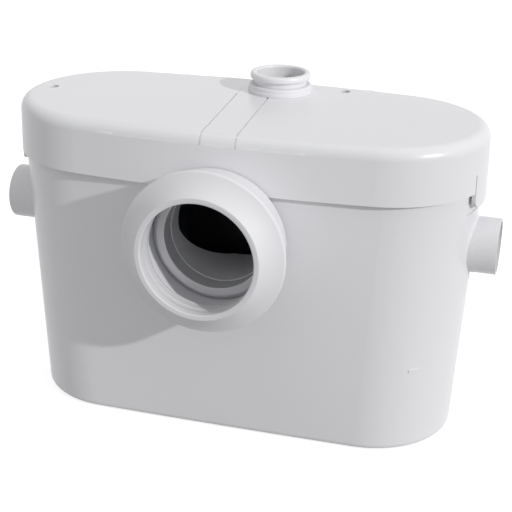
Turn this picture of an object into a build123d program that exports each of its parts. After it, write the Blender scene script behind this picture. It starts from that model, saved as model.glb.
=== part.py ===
from build123d import *
import os
from math import atan2, cos, degrees, pi, radians, sin, sqrt

# Macerator toilet pump: a moulded tank that stands behind the pan, with a
# screwed lid, a pan collar in front, a waste spigot at each end and a discharge
# spigot on top. Inside, one level shaft carries the motor's rotor, the cutter
# in its perforated basket, and the pump impeller.
# Millimetres. X runs along the tank, -Y faces the pan, Z is up, and Z = 0 is
# the floor under the rubber pads.

# General clearances and working values
overrun = 5.0
slip_gap = 0.3
run_gap = 0.05
seat_gap = 0.1
full_turn = 360.0

# Tank
pad_proud = 1.5
tank_wall = 3.5
body_half_length = 198.4
body_half_depth = 89.2
body_bulge = 9.2
body_top = 224.6
foot_taper_length = 11.0
foot_taper_depth = 16.5
foot_bulge = 0.7
foot_fillet = 4.7
rim_step = 1.8
rim_height = 11.4
pad_length = 110.0
pad_width = 16.0
pad_thickness = 3.0
pad_inset = 93.4

# Lid
lid_wall = 3.0
lid_overhang_length = 3.4
lid_overhang_depth = 3.9
lid_bulge = 6.3
lid_draft = 0.8
lid_shoulder = 9.7
lid_lift = 1.5
lid_height = 46.0
groove_width = 1.5
groove_depth = 1.1
groove_lean = 7.0
groove_left_x = -17.6
groove_right_x = 11.4
well_radius = 5.2
well_depth = 4.0
boss_radius = 7.5
screw_left_inset = 18.4
screw_left_y = 1.0
screw_right_x = 66.0
screw_right_inset = 18.2
screw_head_radius = 4.2
screw_head_height = 2.6
screw_shank_radius = 1.9
screw_slot = 1.2
screw_head_chamfer = 0.8
tongue_half_width = 30.0
tongue_drop = 13.6
tongue_round = 8.0
tongue_slit = 1.6
tongue_slit_height = 15.4
catch_margin = 3.5
catch_drop = 19.0
catch_depth = 1.6
hook_half_width = 12.0
nib_length = 7.0
nib_depth = 0.8
nib_height = 2.0
nib_inset = 40.4
nib_drop = 148.6

# Gasket and inner cover on the tank's rim
gasket_thickness = 2.5
cover_thickness = 3.0
ledge_width = 5.0
ledge_thickness = 3.0

# Pan collar, inlet spout and hood
pan_x = -0.7
pan_drop = 37.9
lip_reach = 52.7
lip_bore = 45.8
lip_wall = 4.5
rim_reach = 36.1
rim_flare = 7.9
rim_round = 2.6
collar_back_reach = 5.1
collar_back_step = 2.8
collar_sleeve_wall = 3.4
collar_sleeve_depth = 5.7
collar_fit = 0.6
collar_bore_reach = 29.8
ridge_step = 1.6
ridge_pitch = 5.5
ridge_count = 3
neck_wall = 7.6
neck_fit = 0.5
neck_reach = 1.8
spout_bore = 41.5
spout_wall = 3.0
spout_lip_reach = 7.4
spout_lip_step = 0.9
spout_side_inset = 29.2
spout_floor_inset = 65.2
hood_wall = 2.5
hood_mouth_inset = 19.2
hood_foot_rise = 16.6

# Shaft line: basket, cutter, seal plate, motor, volute and impeller
shaft_inset = 67.2
shaft_z = 76.0
shaft_radius = 5.0
shaft_chamfer = 1.0
basket_radius = 50.0
basket_wall = 2.5
basket_length = 104.0
basket_right = 48.0
basket_mouth = 42.0
basket_hole = 4.0
basket_rows = 6
basket_columns = 11
basket_hole_arc = 200.0
cutter_x = -8.0
cutter_reach = 42.0
cutter_width = 15.0
cutter_thickness = 2.5
cutter_tip = 13.0
cutter_hub_radius = 10.0
cutter_hub_length = 16.0
seal_plate_thickness = 11.0
seal_radius = 11.0
can_radius = 41.0
can_wall = 2.0
can_length = 84.0
bearing_radius = 13.0
bearing_width = 8.0
bearing_groove_outer = 9.8
bearing_groove_inner = 7.8
bearing_groove_depth = 0.8
stator_fit = 0.4
stator_bore = 22.0
stator_slots = 12
slot_width = 5.0
slot_depth = 9.0
core_offset = 22.0
core_length = 40.0
winding_inner = 25.0
winding_outer = 35.0
winding_length = 11.0
winding_round = 3.6
rotor_gap = 0.6
end_ring_radius = 19.0
end_ring_length = 5.5
volute_radius = 44.0
volute_wall = 3.0
volute_depth = 26.0
volute_cover = 4.0
eye_radius = 17.0
eye_skirt = 6.0
impeller_radius = 36.0
impeller_disc = 3.0
impeller_blade_height = 11.0
impeller_blade_thickness = 3.0
impeller_hub_radius = 11.0
impeller_blades = 6
impeller_back_gap = 1.2
blade_sweep = 35.0
blade_tip_turn = 65.0
nut_radius = 8.0
nut_length = 6.0
nut_sides = 6

# Cradle and buffers
cradle_thickness = 4.0
cradle_width = 70.0
saddle_thickness = 6.0
saddle_half_width = 34.0
buffer_radius = 8.0
buffer_inset = 14.0

# Riser and discharge spigot
riser_offset = 42.0
riser_radius = 17.0
riser_bore = 14.5
socket_wall = 2.5
socket_top = 132.0
socket_depth = 12.0
riser_bend = 24.0
riser_low_rise = 22.0
riser_high_drop = 31.7
spigot_x = 11.75
spigot_inset = 34.2
spigot_seat_drop = 29.5
spigot_bore = 20.9
spigot_wall = 2.1
chamber_step = 0.4
chamber_height = 17.0
seat_bore = 12.5
seat_thickness = 4.0
nipple_length = 10.0
spigot_rise = 17.3
spigot_lip_wall = 3.5
spigot_lip_height = 6.5
spigot_lip_round = 2.2
sleeve_wall = 2.5
sleeve_overlap = 9.0
clamp_width = 7.0
clamp_thickness = 0.9
clamp_screw_radius = 3.2
clamp_screw_length = 11.0
grommet_wall = 5.2
grommet_step = 1.0
grommet_height = 3.2
grommet_step_height = 3.8
grommet_ease = 0.8
lid_hole_gap = 1.2

# Hinged non-return flaps
flap_thickness = 2.5
flap_pin_radius = 1.5
flap_ear = 4.0
knuckle_radius = 3.4
riser_flap_radius = 15.0
riser_flap_pin_offset = 16.4
riser_knuckle_half = 5.0
side_flap_inset = 0.58
side_pin_margin = 3.42
side_ear_gap = 20.0

# Side waste spigots
side_reach = 18.3
side_drop = 52.7
side_radius = 23.58
side_wall = 2.2
side_root_step = 0.37
side_root_reach = 0.1
side_flange_width = 9.42
side_flange_inset = 14.4
side_seat_depth = 6.0

# Level switch
level_inset = 78.4
level_y = 34.0
level_tube_radius = 15.0
level_tube_wall = 2.5
level_tube_bottom = 24.0
level_slot_height = 22.0
level_slot_width = 8.0
dome_radius = 24.0
dome_depth = 11.0
membrane_thickness = 1.6
membrane_bead = 1.4
housing_height = 14.0
piston_radius = 13.0
piston_thickness = 2.5
plunger_radius = 3.0
plunger_chamfer = 0.8
plunger_above_cover = 8.0
plunger_travel = 3.0
spring_radius = 6.0
spring_wire = 0.9
spring_turns = 4
switch_length = 28.0
switch_width = 11.0
switch_height = 14.0
lever_thickness = 0.8

# Electrical parts on the inner cover
box_x = -62.0
box_y = -12.0
box_length = 78.0
box_width = 52.0
box_height = 23.0
box_wall = 2.0
box_round = 4.0
capacitor_x = 95.0
capacitor_y = -20.0
capacitor_radius = 11.5
capacitor_length = 62.0
capacitor_neck = 5.0
capacitor_round = 1.9
clip_wall = 1.5
clip_width = 14.0
clip_opening_share = 0.55
vent_x = 120.0
vent_y = 30.0
vent_radius = 14.0
vent_height = 9.0
vent_round = 2.2
vent_slots = 5
vent_slot_width = 1.8

# Cable gland at the back of the lid
gland_x = 83.3
gland_drop = 13.1
gland_radius = 8.8
gland_flange = 2.5
gland_reach = 13.0
gland_bore = 3.5
gland_sides = 6

# Sizes and places that follow from the values above
floor_z = pad_proud + tank_wall
tank_rim = body_top + rim_height
cover_z = tank_rim + gasket_thickness
deck_z = cover_z + cover_thickness
lid_bottom = body_top + lid_lift
lid_top = lid_bottom + lid_height
body_end_radius = body_half_depth - body_bulge
foot_half_length = body_half_length - foot_taper_length
foot_half_depth = body_half_depth - foot_taper_depth
foot_end_radius = foot_half_depth - foot_bulge
rim_half_length = body_half_length - rim_step
rim_half_depth = body_half_depth - rim_step
rim_end_radius = body_end_radius - rim_step
lid_half_length = body_half_length + lid_overhang_length
lid_half_depth = body_half_depth + lid_overhang_depth
lid_end_radius = lid_half_depth - lid_bulge
pad_pitch = body_half_length - pad_inset
screw_left = (screw_left_inset - body_half_length, screw_left_y)
screw_right = (screw_right_x, body_half_depth - screw_right_inset)
nib_x = body_half_length - nib_inset
nib_z = body_top - nib_drop
front_y = -body_half_depth
pan_z = body_top - pan_drop
lip_y = front_y - lip_reach
rim_y = front_y - rim_reach
collar_bore_y = front_y - collar_bore_reach
collar_back_y = front_y - collar_back_reach
sleeve_back_y = collar_back_y + collar_sleeve_depth
neck_y = front_y - neck_reach
spout_lip_y = front_y - spout_lip_reach
spout_side_y = front_y + spout_side_inset
spout_floor_y = front_y + spout_floor_inset
hood_mouth_y = front_y + hood_mouth_inset
shaft_y = front_y + shaft_inset
spout_radius = spout_bore + spout_wall
spout_lip_bore = spout_bore + spout_lip_step
neck_bore = spout_radius + neck_fit
neck_radius = neck_bore + neck_wall
collar_bore = neck_radius + collar_fit
sleeve_radius = collar_bore + collar_sleeve_wall
collar_back_radius = sleeve_radius + collar_back_step
rim_radius = collar_back_radius + rim_flare
lip_radius = lip_bore + lip_wall
ridge_bore = lip_bore + ridge_step
basket_left = basket_right - basket_length
stator_radius = can_radius - can_wall - stator_fit
seal_left = basket_right
seal_right = seal_left + seal_plate_thickness
can_right = seal_right + can_length
core_left = seal_right + core_offset
core_right = core_left + core_length
volute_right = basket_left - seat_gap
volute_left = volute_right - volute_cover - volute_depth
riser_x = (volute_left + volute_right) / 2
riser_y = shaft_y + riser_offset
spigot_y = body_half_depth - spigot_inset
spigot_outer = spigot_bore + spigot_wall
spigot_lip_radius = spigot_outer + spigot_lip_wall
spigot_top = lid_top + spigot_rise
spigot_seat_z = cover_z - spigot_seat_drop
chamber_radius = spigot_bore + chamber_step
grommet_radius = spigot_outer + grommet_wall
grommet_step_radius = grommet_radius - grommet_step
spigot_foot = spigot_seat_z - seat_thickness
riser_top = spigot_foot - nipple_length - slip_gap
riser_low_bend_z = socket_top + riser_low_rise
riser_high_bend_z = riser_top - riser_high_drop
side_x = body_half_length + side_reach
side_z = body_top - side_drop
side_root_x = body_half_length + side_root_reach
side_root_radius = side_radius + side_root_step
side_flange_radius = side_radius + side_flange_width
side_flange_x = body_half_length - side_flange_inset
side_seat_x = side_flange_x - side_seat_depth
side_flap_radius = side_radius - side_flap_inset
side_pin_rise = side_radius + side_pin_margin
level_x = level_inset - body_half_length
gland_z = lid_top - gland_drop
cradle_top = shaft_z - basket_radius - seat_gap
membrane_z = cover_z - housing_height
piston_z = membrane_z + membrane_thickness + seat_gap
plunger_top = deck_z + plunger_above_cover

BASE = (Align.CENTER, Align.CENTER, Align.MIN)
SHAFT = Plane(origin=(0, shaft_y, shaft_z), x_dir=(0, 1, 0), z_dir=(1, 0, 0))
PAN = Plane(origin=(pan_x, 0, pan_z), x_dir=(1, 0, 0), z_dir=(0, -1, 0))


def save(part, name):
    """Write one sub-part to its own file."""
    export_step(part, os.path.join("parts", name + ".step"))


def oval(half_length, half_depth, end_radius):
    """Plan outline: two end arcs joined by two long side arcs that touch them."""
    reach = half_length - end_radius
    slack = half_depth - end_radius
    side_radius = (reach**2 + half_depth**2 - end_radius**2) / (slack + slack)
    turn = side_radius - end_radius
    meet_x = reach + end_radius * reach / turn
    meet_y = end_radius * (side_radius - half_depth) / turn
    arcs = Curve() + [
        ThreePointArc((meet_x, -meet_y), (half_length, 0), (meet_x, meet_y)),
        ThreePointArc((meet_x, meet_y), (0, half_depth), (-meet_x, meet_y)),
        ThreePointArc((-meet_x, meet_y), (-half_length, 0), (-meet_x, -meet_y)),
        ThreePointArc((-meet_x, -meet_y), (0, -half_depth), (meet_x, -meet_y)),
    ]
    return make_face(arcs)


def tapered(low, low_z, high, high_z):
    """Drafted wall form between two oval outlines, each (length, depth, radius)."""
    bottom = Plane.XY.offset(low_z) * oval(*low)
    top = Plane.XY.offset(high_z) * oval(*high)
    return loft([bottom, top], ruled=True)


def rod(plane, radius, start, end):
    """Round bar along the plane's normal, from start to end."""
    return plane.offset(start) * Cylinder(radius, end - start, align=BASE)


def pipe(plane, outer, inner, start, end):
    """Straight pipe along the plane's normal."""
    return rod(plane, outer, start, end) - rod(plane, inner, start - overrun, end + overrun)


def block(x_range, y_range, z_range):
    """Box between two values on each axis."""
    low = Vector(x_range[0], y_range[0], z_range[0])
    high = Vector(x_range[1], y_range[1], z_range[1])
    size = high - low
    return Pos(*((low + high) / 2)) * Box(size.X, size.Y, size.Z)


def turned(points, origin, radial, along):
    """Solid turned about a straight axis, from (radius, position) points."""
    plane = Plane(origin=origin, x_dir=radial, z_dir=Vector(*radial).cross(Vector(*along)))
    face = plane * make_face(Polyline(*points, close=True))
    return revolve(face, Axis(origin, along))


def upright(x, y):
    """Plane on the floor whose normal is a vertical axis."""
    return Plane(origin=(x, y, 0), x_dir=(1, 0, 0), z_dir=(0, 0, 1))


def side_plane(side):
    """Plane of a side spigot: its normal points out of that end of the tank."""
    return Plane(origin=(0, 0, side_z), x_dir=(0, 1, 0), z_dir=(side, 0, 0))


def tank_cavity():
    """Space inside the tank, open at its rim."""
    low = (foot_half_length - tank_wall, foot_half_depth - tank_wall, foot_end_radius - tank_wall)
    high = (rim_half_length - tank_wall, rim_half_depth - tank_wall, rim_end_radius - tank_wall)
    return tapered(low, floor_z, high, tank_rim)


def tank_outside():
    """Outer form of the tank up to the step under the lid's skirt."""
    low = (foot_half_length, foot_half_depth, foot_end_radius)
    high = (body_half_length, body_half_depth, body_end_radius)
    body = tapered(low, pad_proud, high, body_top)
    return fillet(body.faces().sort_by(Axis.Z)[0].edges(), foot_fillet)


def make_tank(cavity):
    """Drafted tank with its rim, front neck, side holes, screw boss and pads' pockets."""
    rim_outline = oval(rim_half_length, rim_half_depth, rim_end_radius)
    rim = Plane.XY.offset(body_top) * extrude(rim_outline, rim_height)
    shell = tank_outside() + rim
    neck_root = foot_half_depth - tank_wall
    neck = rod(PAN, neck_radius, neck_root, -neck_y) - block(
        (pan_x - neck_radius, pan_x + neck_radius),
        (-rim_half_depth, 0),
        (tank_rim, pan_z + neck_radius + overrun),
    )
    body = shell + neck - cavity - rod(PAN, neck_bore, neck_root - overrun, -neck_y + overrun)
    for side in (-1, 1):
        plane = side_plane(side)
        body -= rod(plane, side_root_radius + seat_gap, side_flange_x - overrun, side_x)
        body -= catch_recess(side)
    for strip in pad_strips():
        body -= strip
    return body + corner_nib()


def end_window(side, half_width, bottom, top, corner):
    """Rounded window through one end of the tank, seen along X."""
    height = top - bottom
    outline = Pos(0, bottom + height / 2) * RectangleRounded(half_width + half_width, height, corner)
    plane = Plane(origin=(0, 0, 0), x_dir=(0, 1, 0), z_dir=(1, 0, 0))
    start = side * foot_end_radius
    return extrude(plane.offset(start) * outline, side * lid_half_length)


def catch_recess(side):
    """Shallow recess in the tank's end, under the lid's tongue."""
    low = (foot_half_length, foot_half_depth, foot_end_radius)
    high = (body_half_length, body_half_depth, body_end_radius)
    core = tapered(
        tuple(value - catch_depth for value in low),
        pad_proud,
        tuple(value - catch_depth for value in high),
        body_top,
    )
    bottom = lid_bottom - catch_drop
    window = end_window(side, tongue_half_width + catch_margin, bottom, body_top + tongue_round, catch_margin)
    below_rim = block(
        (-lid_half_length, lid_half_length),
        (-lid_half_depth, lid_half_depth),
        (pad_proud, body_top),
    )
    return (window & below_rim) - core


def corner_nib():
    """Small moulded nib low on the front right corner."""
    grown = tapered(
        (foot_half_length + nib_depth, foot_half_depth + nib_depth, foot_end_radius + nib_depth),
        pad_proud,
        (body_half_length + nib_depth, body_half_depth + nib_depth, body_end_radius + nib_depth),
        body_top,
    )
    window = block(
        (nib_x, nib_x + nib_length),
        (-foot_half_depth - overrun, -nib_height),
        (nib_z, nib_z + nib_height),
    )
    ring = grown - tank_outside()
    return ring & window


def pad_strips():
    """Three strips across the tank, from the floor up."""
    strips = []
    for x in (-pad_pitch, 0, pad_pitch):
        outline = Pos(x, 0) * Rot(0, 0, full_turn / 4) * SlotOverall(pad_length, pad_width)
        strips.append(extrude(outline, pad_thickness))
    return strips


def lid_form(inset):
    """Solid dome of the lid, drawn in by inset on every side and at the top."""
    outline = oval(lid_half_length - inset, lid_half_depth - inset, lid_end_radius - inset)
    height = lid_top - inset - lid_bottom
    draft_angle = degrees(atan2(lid_draft, height))
    dome = extrude(Plane.XY.offset(lid_bottom) * outline, height, taper=draft_angle)
    return fillet(dome.faces().sort_by(Axis.Z)[-1].edges(), lid_shoulder - inset)


def make_lid():
    """Skirted lid with its shoulder, grooves, screw wells, seat ledge and tongues."""
    high = (lid_half_length - lid_draft, lid_half_depth - lid_draft, lid_end_radius - lid_draft)
    outside = lid_form(0)
    inside = lid_form(lid_wall)
    shell = outside - inside
    ledge_outer = tuple(value - lid_wall / 2 for value in high)
    ledge_inner = tuple(value - lid_wall - ledge_width for value in high)
    ledge = oval(*ledge_outer) - oval(*ledge_inner)
    shell += extrude(Plane.XY.offset(deck_z) * ledge, ledge_thickness)
    for place in (screw_left, screw_right):
        column = rod(upright(*place), boss_radius, deck_z, lid_top - lid_wall / 2)
        shell += column & outside
    spigot_hole = spigot_outer + lid_hole_gap
    shell -= rod(upright(spigot_x, spigot_y), spigot_hole, deck_z - overrun, lid_top + overrun)
    for place in (screw_left, screw_right):
        shell -= rod(upright(*place), well_radius, lid_top - well_depth, lid_top + overrun)
        shell -= rod(upright(*place), screw_shank_radius + slip_gap, deck_z - overrun, lid_top)
    shell -= rod(PAN, sleeve_radius + slip_gap, foot_half_depth, lid_half_depth + overrun)
    shell -= groove(groove_left_x) + groove(groove_right_x)
    shell += gland_boss()
    shell -= rod(gland_plane(), gland_bore + gland_flange, 0, lid_half_depth + gland_reach)
    for side in (-1, 1):
        shell = shell + tongue(side)
        shell -= tongue_slits(side)
    return shell


def gland_plane():
    """Plane through the gland's axis, whose normal points to the wall."""
    return Plane(origin=(gland_x, 0, gland_z), x_dir=(1, 0, 0), z_dir=(0, 1, 0))


def gland_boss():
    """Round boss on the back of the skirt that carries the cable gland."""
    start = lid_half_depth - lid_shoulder
    return rod(gland_plane(), gland_radius, start, lid_half_depth + gland_flange)


def groove(x):
    """Thin groove over the top and front shoulder, leaning a little to the left."""
    front = -lid_half_depth
    back = spigot_y - spigot_outer
    shift = groove_lean / 2
    centre = Line((x + shift, front), (x - shift, back))
    band = Plane.XY.offset(lid_top - groove_depth) * trace(centre, groove_width)
    cut = extrude(band, groove_depth + overrun)
    curl = block(
        (x - groove_lean, x + groove_lean + groove_lean),
        (front - overrun, front + lid_shoulder / 2),
        (lid_top - lid_shoulder, lid_top),
    )
    slope = Plane.XY.offset(lid_top - lid_shoulder) * trace(centre, groove_width)
    skin = lid_form(groove_depth)
    return cut + ((extrude(slope, lid_shoulder) & curl) - skin)


def tongue(side):
    """Snap tongue that hangs below the skirt at one end and hooks on the tank."""
    low = (lid_half_length, lid_half_depth, lid_end_radius)
    ring = oval(*low) - oval(*(value - lid_wall for value in low))
    bottom = lid_bottom - tongue_drop
    band = Plane.XY.offset(bottom) * extrude(ring, tongue_drop)
    window = end_window(side, tongue_half_width, bottom, lid_bottom + tongue_drop, tongue_round)
    inner = lid_half_length - lid_wall
    hook = block(
        sorted((side * (inner - catch_depth), side * (inner + slip_gap))),
        (-hook_half_width, hook_half_width),
        (bottom, bottom + catch_depth),
    )
    return (band & window) + hook


def tongue_slits(side):
    """Two vertical slits that free the tongue from the skirt."""
    cuts = []
    for sign in (-1, 1):
        slit = block(
            sorted((side * foot_end_radius, side * (lid_half_length + overrun))),
            sorted((sign * tongue_half_width, sign * (tongue_half_width + tongue_slit))),
            (lid_bottom - overrun, lid_bottom + tongue_slit_height),
        )
        cuts.append(slit)
    return cuts[0] + cuts[1]


def make_gasket():
    """Flat rubber gasket on the tank's rim."""
    size = (rim_half_length, rim_half_depth, rim_end_radius)
    ring = oval(*size) - oval(*(value - tank_wall for value in size))
    return extrude(Plane.XY.offset(tank_rim) * ring, gasket_thickness)


def make_inner_cover():
    """Flat cover that closes the wet tank under the lid."""
    outline = oval(rim_half_length, rim_half_depth, rim_end_radius)
    plate = extrude(Plane.XY.offset(cover_z) * outline, cover_thickness)
    holes = (
        (spigot_x, spigot_y, spigot_outer + seat_gap),
        (level_x, level_y, plunger_radius + slip_gap),
        (*screw_left, screw_shank_radius + slip_gap),
        (*screw_right, screw_shank_radius + slip_gap),
        (vent_x, vent_y, vent_radius / 2),
    )
    for x, y, radius in holes:
        plate -= rod(upright(x, y), radius, cover_z - overrun, deck_z + overrun)
    return plate


def make_screws():
    """Two identical cross-head lid screws, in their wells."""
    screws = []
    seat = lid_top - well_depth
    for place in (screw_left, screw_right):
        head = rod(upright(*place), screw_head_radius, seat, seat + screw_head_height)
        head = chamfer(head.edges().sort_by(Axis.Z)[-1], screw_head_chamfer)
        shank = rod(upright(*place), screw_shank_radius, cover_z, seat)
        bar = Box(screw_head_radius, screw_slot, screw_head_height)
        cross = Pos(place[0], place[1], seat + screw_head_height) * (bar + Rot(0, 0, full_turn / 4) * bar)
        screws.append(head + shank - cross)
    return Compound(children=screws)


def make_pads():
    """Three rubber strips in pockets under the tank."""
    return Compound(children=pad_strips())


def make_collar():
    """Flared rubber collar: narrow lip, hollow cone to the wide rim, stepped bore."""
    origin = (pan_x, 0, pan_z)
    cone_mid = ((lip_radius + rim_radius) / 2 - rim_round, (lip_y + rim_y) / 2 + rim_round)
    outer = [
        Line((lip_bore, lip_y), (lip_radius, lip_y)),
        ThreePointArc((lip_radius, lip_y), cone_mid, (rim_radius - rim_round, rim_y - rim_round)),
        ThreePointArc(
            (rim_radius - rim_round, rim_y - rim_round),
            (rim_radius - rim_round * (1 - cos(pi / 4)), rim_y - rim_round * cos(pi / 4)),
            (rim_radius, rim_y),
        ),
        Polyline(
            (rim_radius, rim_y),
            (collar_back_radius, collar_back_y),
            (sleeve_radius, collar_back_y),
            (sleeve_radius, sleeve_back_y),
            (collar_bore, sleeve_back_y),
            (collar_bore, collar_bore_y),
        ),
    ]
    step = ridge_pitch / 2
    bore = [(collar_bore, collar_bore_y)]
    for index in range(ridge_count):
        start = collar_bore_y - index * ridge_pitch
        bore += [(ridge_bore, start), (ridge_bore, start - step), (ridge_bore + step / 2, start - step)]
        bore += [(ridge_bore + step / 2, start - ridge_pitch)]
    bore += [(lip_bore, bore[-1][1]), (lip_bore, lip_y)]
    section = make_face(Curve() + outer + [Polyline(*bore)])
    placed = Plane(origin=origin, x_dir=(1, 0, 0), z_dir=(0, 0, 1)) * section
    return revolve(placed, Axis(origin, (0, 1, 0)))


def make_spout():
    """White inlet spout: flange on the neck, barrel cut back to a long floor."""
    origin = (pan_x, 0, pan_z)
    profile = [
        (spout_lip_bore, spout_lip_y),
        (neck_radius, neck_y - seat_gap - tank_wall / 2),
        (neck_radius, neck_y),
        (spout_radius, neck_y),
        (spout_radius, 0),
        (spout_bore, 0),
        (spout_bore, neck_y),
    ]
    barrel = turned(profile, origin, (1, 0, 0), (0, 1, 0))
    reach = spout_bore
    slope = (spout_floor_y - spout_side_y) / reach
    low = (spout_side_y + slope * (spout_radius + overrun), pan_z - spout_radius - overrun)
    high = (spout_side_y - slope * (spout_radius + overrun), pan_z + spout_radius + overrun)
    back = overrun + spout_radius
    wedge_points = [low, (back, low[1]), (back, high[1]), (high[0], high[1])]
    left = Plane(origin=(pan_x - spout_radius - overrun, 0, 0), x_dir=(0, 1, 0), z_dir=(1, 0, 0))
    width = spout_radius + overrun + spout_radius + overrun
    wedge = extrude(left * make_face(Polyline(*wedge_points, close=True)), width)
    keep = block(
        (pan_x - neck_radius - overrun, pan_x + neck_radius + overrun),
        (hood_mouth_y - tank_wall, back + overrun),
        (pan_z - neck_radius - overrun, pan_z + neck_radius + overrun),
    )
    return barrel - (wedge & keep)


def hood_form(radius):
    """Level barrel, ball corner and upright barrel of one radius."""
    level = rod(PAN, radius, -shaft_y, -hood_mouth_y)
    corner = Pos(pan_x, shaft_y, pan_z) * Sphere(radius)
    fall = rod(upright(pan_x, shaft_y), radius, shaft_z, pan_z)
    return level + corner + fall


def make_hood(cavity):
    """Black hood that turns the flow down into the basket's mouth."""
    inner = spout_radius + slip_gap
    hood = hood_form(inner + hood_wall) - hood_form(inner)
    hood -= rod(PAN, inner, -hood_mouth_y - overrun, -hood_mouth_y + overrun)
    hood -= rod(SHAFT, basket_radius + seat_gap, basket_left - overrun, basket_right + overrun)
    below = block(
        (-basket_radius - overrun, basket_radius + overrun),
        (shaft_y - basket_radius - overrun, shaft_y + basket_radius + overrun),
        (0, shaft_z + hood_foot_rise),
    )
    return (hood - below) & cavity


def make_basket():
    """Perforated basket: round drum with a mouth on top and a closed left end."""
    drum = rod(SHAFT, basket_radius, basket_left, basket_right)
    drum -= rod(SHAFT, basket_radius - basket_wall, basket_left + basket_wall, basket_right + overrun)
    drum -= rod(SHAFT, shaft_radius + slip_gap, basket_left - overrun, basket_right)
    drum -= rod(upright(pan_x, shaft_y), basket_mouth, shaft_z, shaft_z + basket_radius + overrun)
    spacing = (basket_right - basket_left - basket_wall) / (basket_rows + 1)
    spread = basket_hole_arc / (basket_columns - 1)
    cutters = []
    for row in range(basket_rows):
        x = basket_left + basket_wall + spacing * (row + 1)
        for column in range(basket_columns):
            turn = radians(spread * column - basket_hole_arc / 2)
            outward = Vector(0, sin(turn), -cos(turn))
            spot = Plane(origin=(x, shaft_y, shaft_z), x_dir=(1, 0, 0), z_dir=outward)
            cutters.append(rod(spot, basket_hole, basket_radius - overrun, basket_radius + overrun))
    return drum - cutters


def make_cutter():
    """Stainless cutter: hub and two crossed bars with their tips bent over."""
    half = cutter_thickness / 2
    inner_tip = cutter_reach - cutter_thickness
    bar = [
        (-half, -cutter_reach),
        (cutter_tip, -cutter_reach),
        (cutter_tip, -inner_tip),
        (half, -inner_tip),
        (half, inner_tip),
        (cutter_tip, inner_tip),
        (cutter_tip, cutter_reach),
        (-half, cutter_reach),
    ]
    blades = []
    for flip in (-1, 1):
        across = (0, 0, 1) if flip < 0 else (0, 1, 0)
        plane = Plane(origin=(cutter_x + flip * half, shaft_y, shaft_z), x_dir=(flip, 0, 0), z_dir=across)
        outline = plane * make_face(Polyline(*bar, close=True))
        blades.append(extrude(outline, cutter_width / 2, both=True))
    hub = rod(SHAFT, cutter_hub_radius, cutter_x - cutter_hub_length / 2, cutter_x + cutter_hub_length / 2)
    hole = rod(SHAFT, shaft_radius, basket_left, basket_right)
    return blades[0] + blades[1] + hub - hole


def make_seal_plate():
    """Round end plate between basket and motor, with bearing and seal seats."""
    plate = rod(SHAFT, basket_radius, seal_left + seat_gap, seal_right)
    spigot_radius = can_radius - can_wall - seat_gap
    plate += pipe(SHAFT, spigot_radius, bearing_radius + seat_gap, seal_right, seal_right + bearing_width)
    plate -= rod(SHAFT, seal_radius + seat_gap, seal_left - overrun, seal_right + overrun)
    plate -= rod(SHAFT, shaft_radius + slip_gap, seal_left - overrun, seal_right + overrun)
    return plate


def make_shaft_seal():
    """Lip seal round the shaft, in the seal plate."""
    return pipe(SHAFT, seal_radius, shaft_radius + run_gap, seal_left + seat_gap, seal_right)


def make_motor_can():
    """Drawn can, closed at the far end, with the far bearing's seat."""
    can = rod(SHAFT, can_radius, seal_right, can_right)
    can -= rod(SHAFT, can_radius - can_wall, seal_right - overrun, can_right - can_wall)
    far = can_right - can_wall
    seat = bearing_radius + seat_gap
    boss = pipe(SHAFT, seat + can_wall, seat, far - bearing_width, far + seat_gap)
    edge = can.faces().sort_by(Axis.X)[-1].edges()
    return fillet(edge, can_wall) + boss


def make_stator():
    """Laminated ring with open slots round its bore."""
    ring = pipe(SHAFT, stator_radius, stator_bore, core_left, core_right)
    slots = []
    for index in range(stator_slots):
        turn = index * full_turn / stator_slots
        slot = SHAFT.offset(core_left - overrun) * Rot(0, 0, turn) * Pos(stator_bore, 0, 0) * Box(
            slot_depth + slot_depth, slot_width, core_length + overrun + overrun, align=BASE
        )
        slots.append(slot)
    return ring - slots


def make_windings():
    """End turns of the stator winding, a taped ring at each end of the core."""
    rings = []
    for start in (core_left - winding_length, core_right):
        ring = pipe(SHAFT, winding_outer, winding_inner, start, start + winding_length)
        rings.append(fillet(ring.edges().filter_by(GeomType.CIRCLE), winding_round))
    return Compound(children=rings)


def make_rotor_core():
    """Rotor stack with its short end rings."""
    core = rod(SHAFT, stator_bore - rotor_gap, core_left, core_right)
    ends = rod(SHAFT, end_ring_radius, core_left - end_ring_length, core_right + end_ring_length)
    return core + ends - rod(SHAFT, shaft_radius, core_left - winding_length, core_right + winding_length)


def make_bearings():
    """Two identical bearings, at the seal plate and in the can's end."""
    rings = []
    for start in (seal_right, can_right - can_wall - bearing_width):
        ring = pipe(SHAFT, bearing_radius, shaft_radius + run_gap, start, start + bearing_width)
        for face in (start, start + bearing_width):
            low = face - bearing_groove_depth
            ring -= pipe(SHAFT, bearing_groove_outer, bearing_groove_inner, low, face + bearing_groove_depth)
        rings.append(ring)
    return Compound(children=rings)


def make_shaft():
    """Motor shaft from the impeller nut to the far bearing."""
    start = volute_left + volute_wall
    end = can_right - can_wall - slip_gap
    shaft = rod(SHAFT, shaft_radius, start, end)
    return chamfer(shaft.edges().filter_by(GeomType.CIRCLE), shaft_chamfer)


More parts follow.
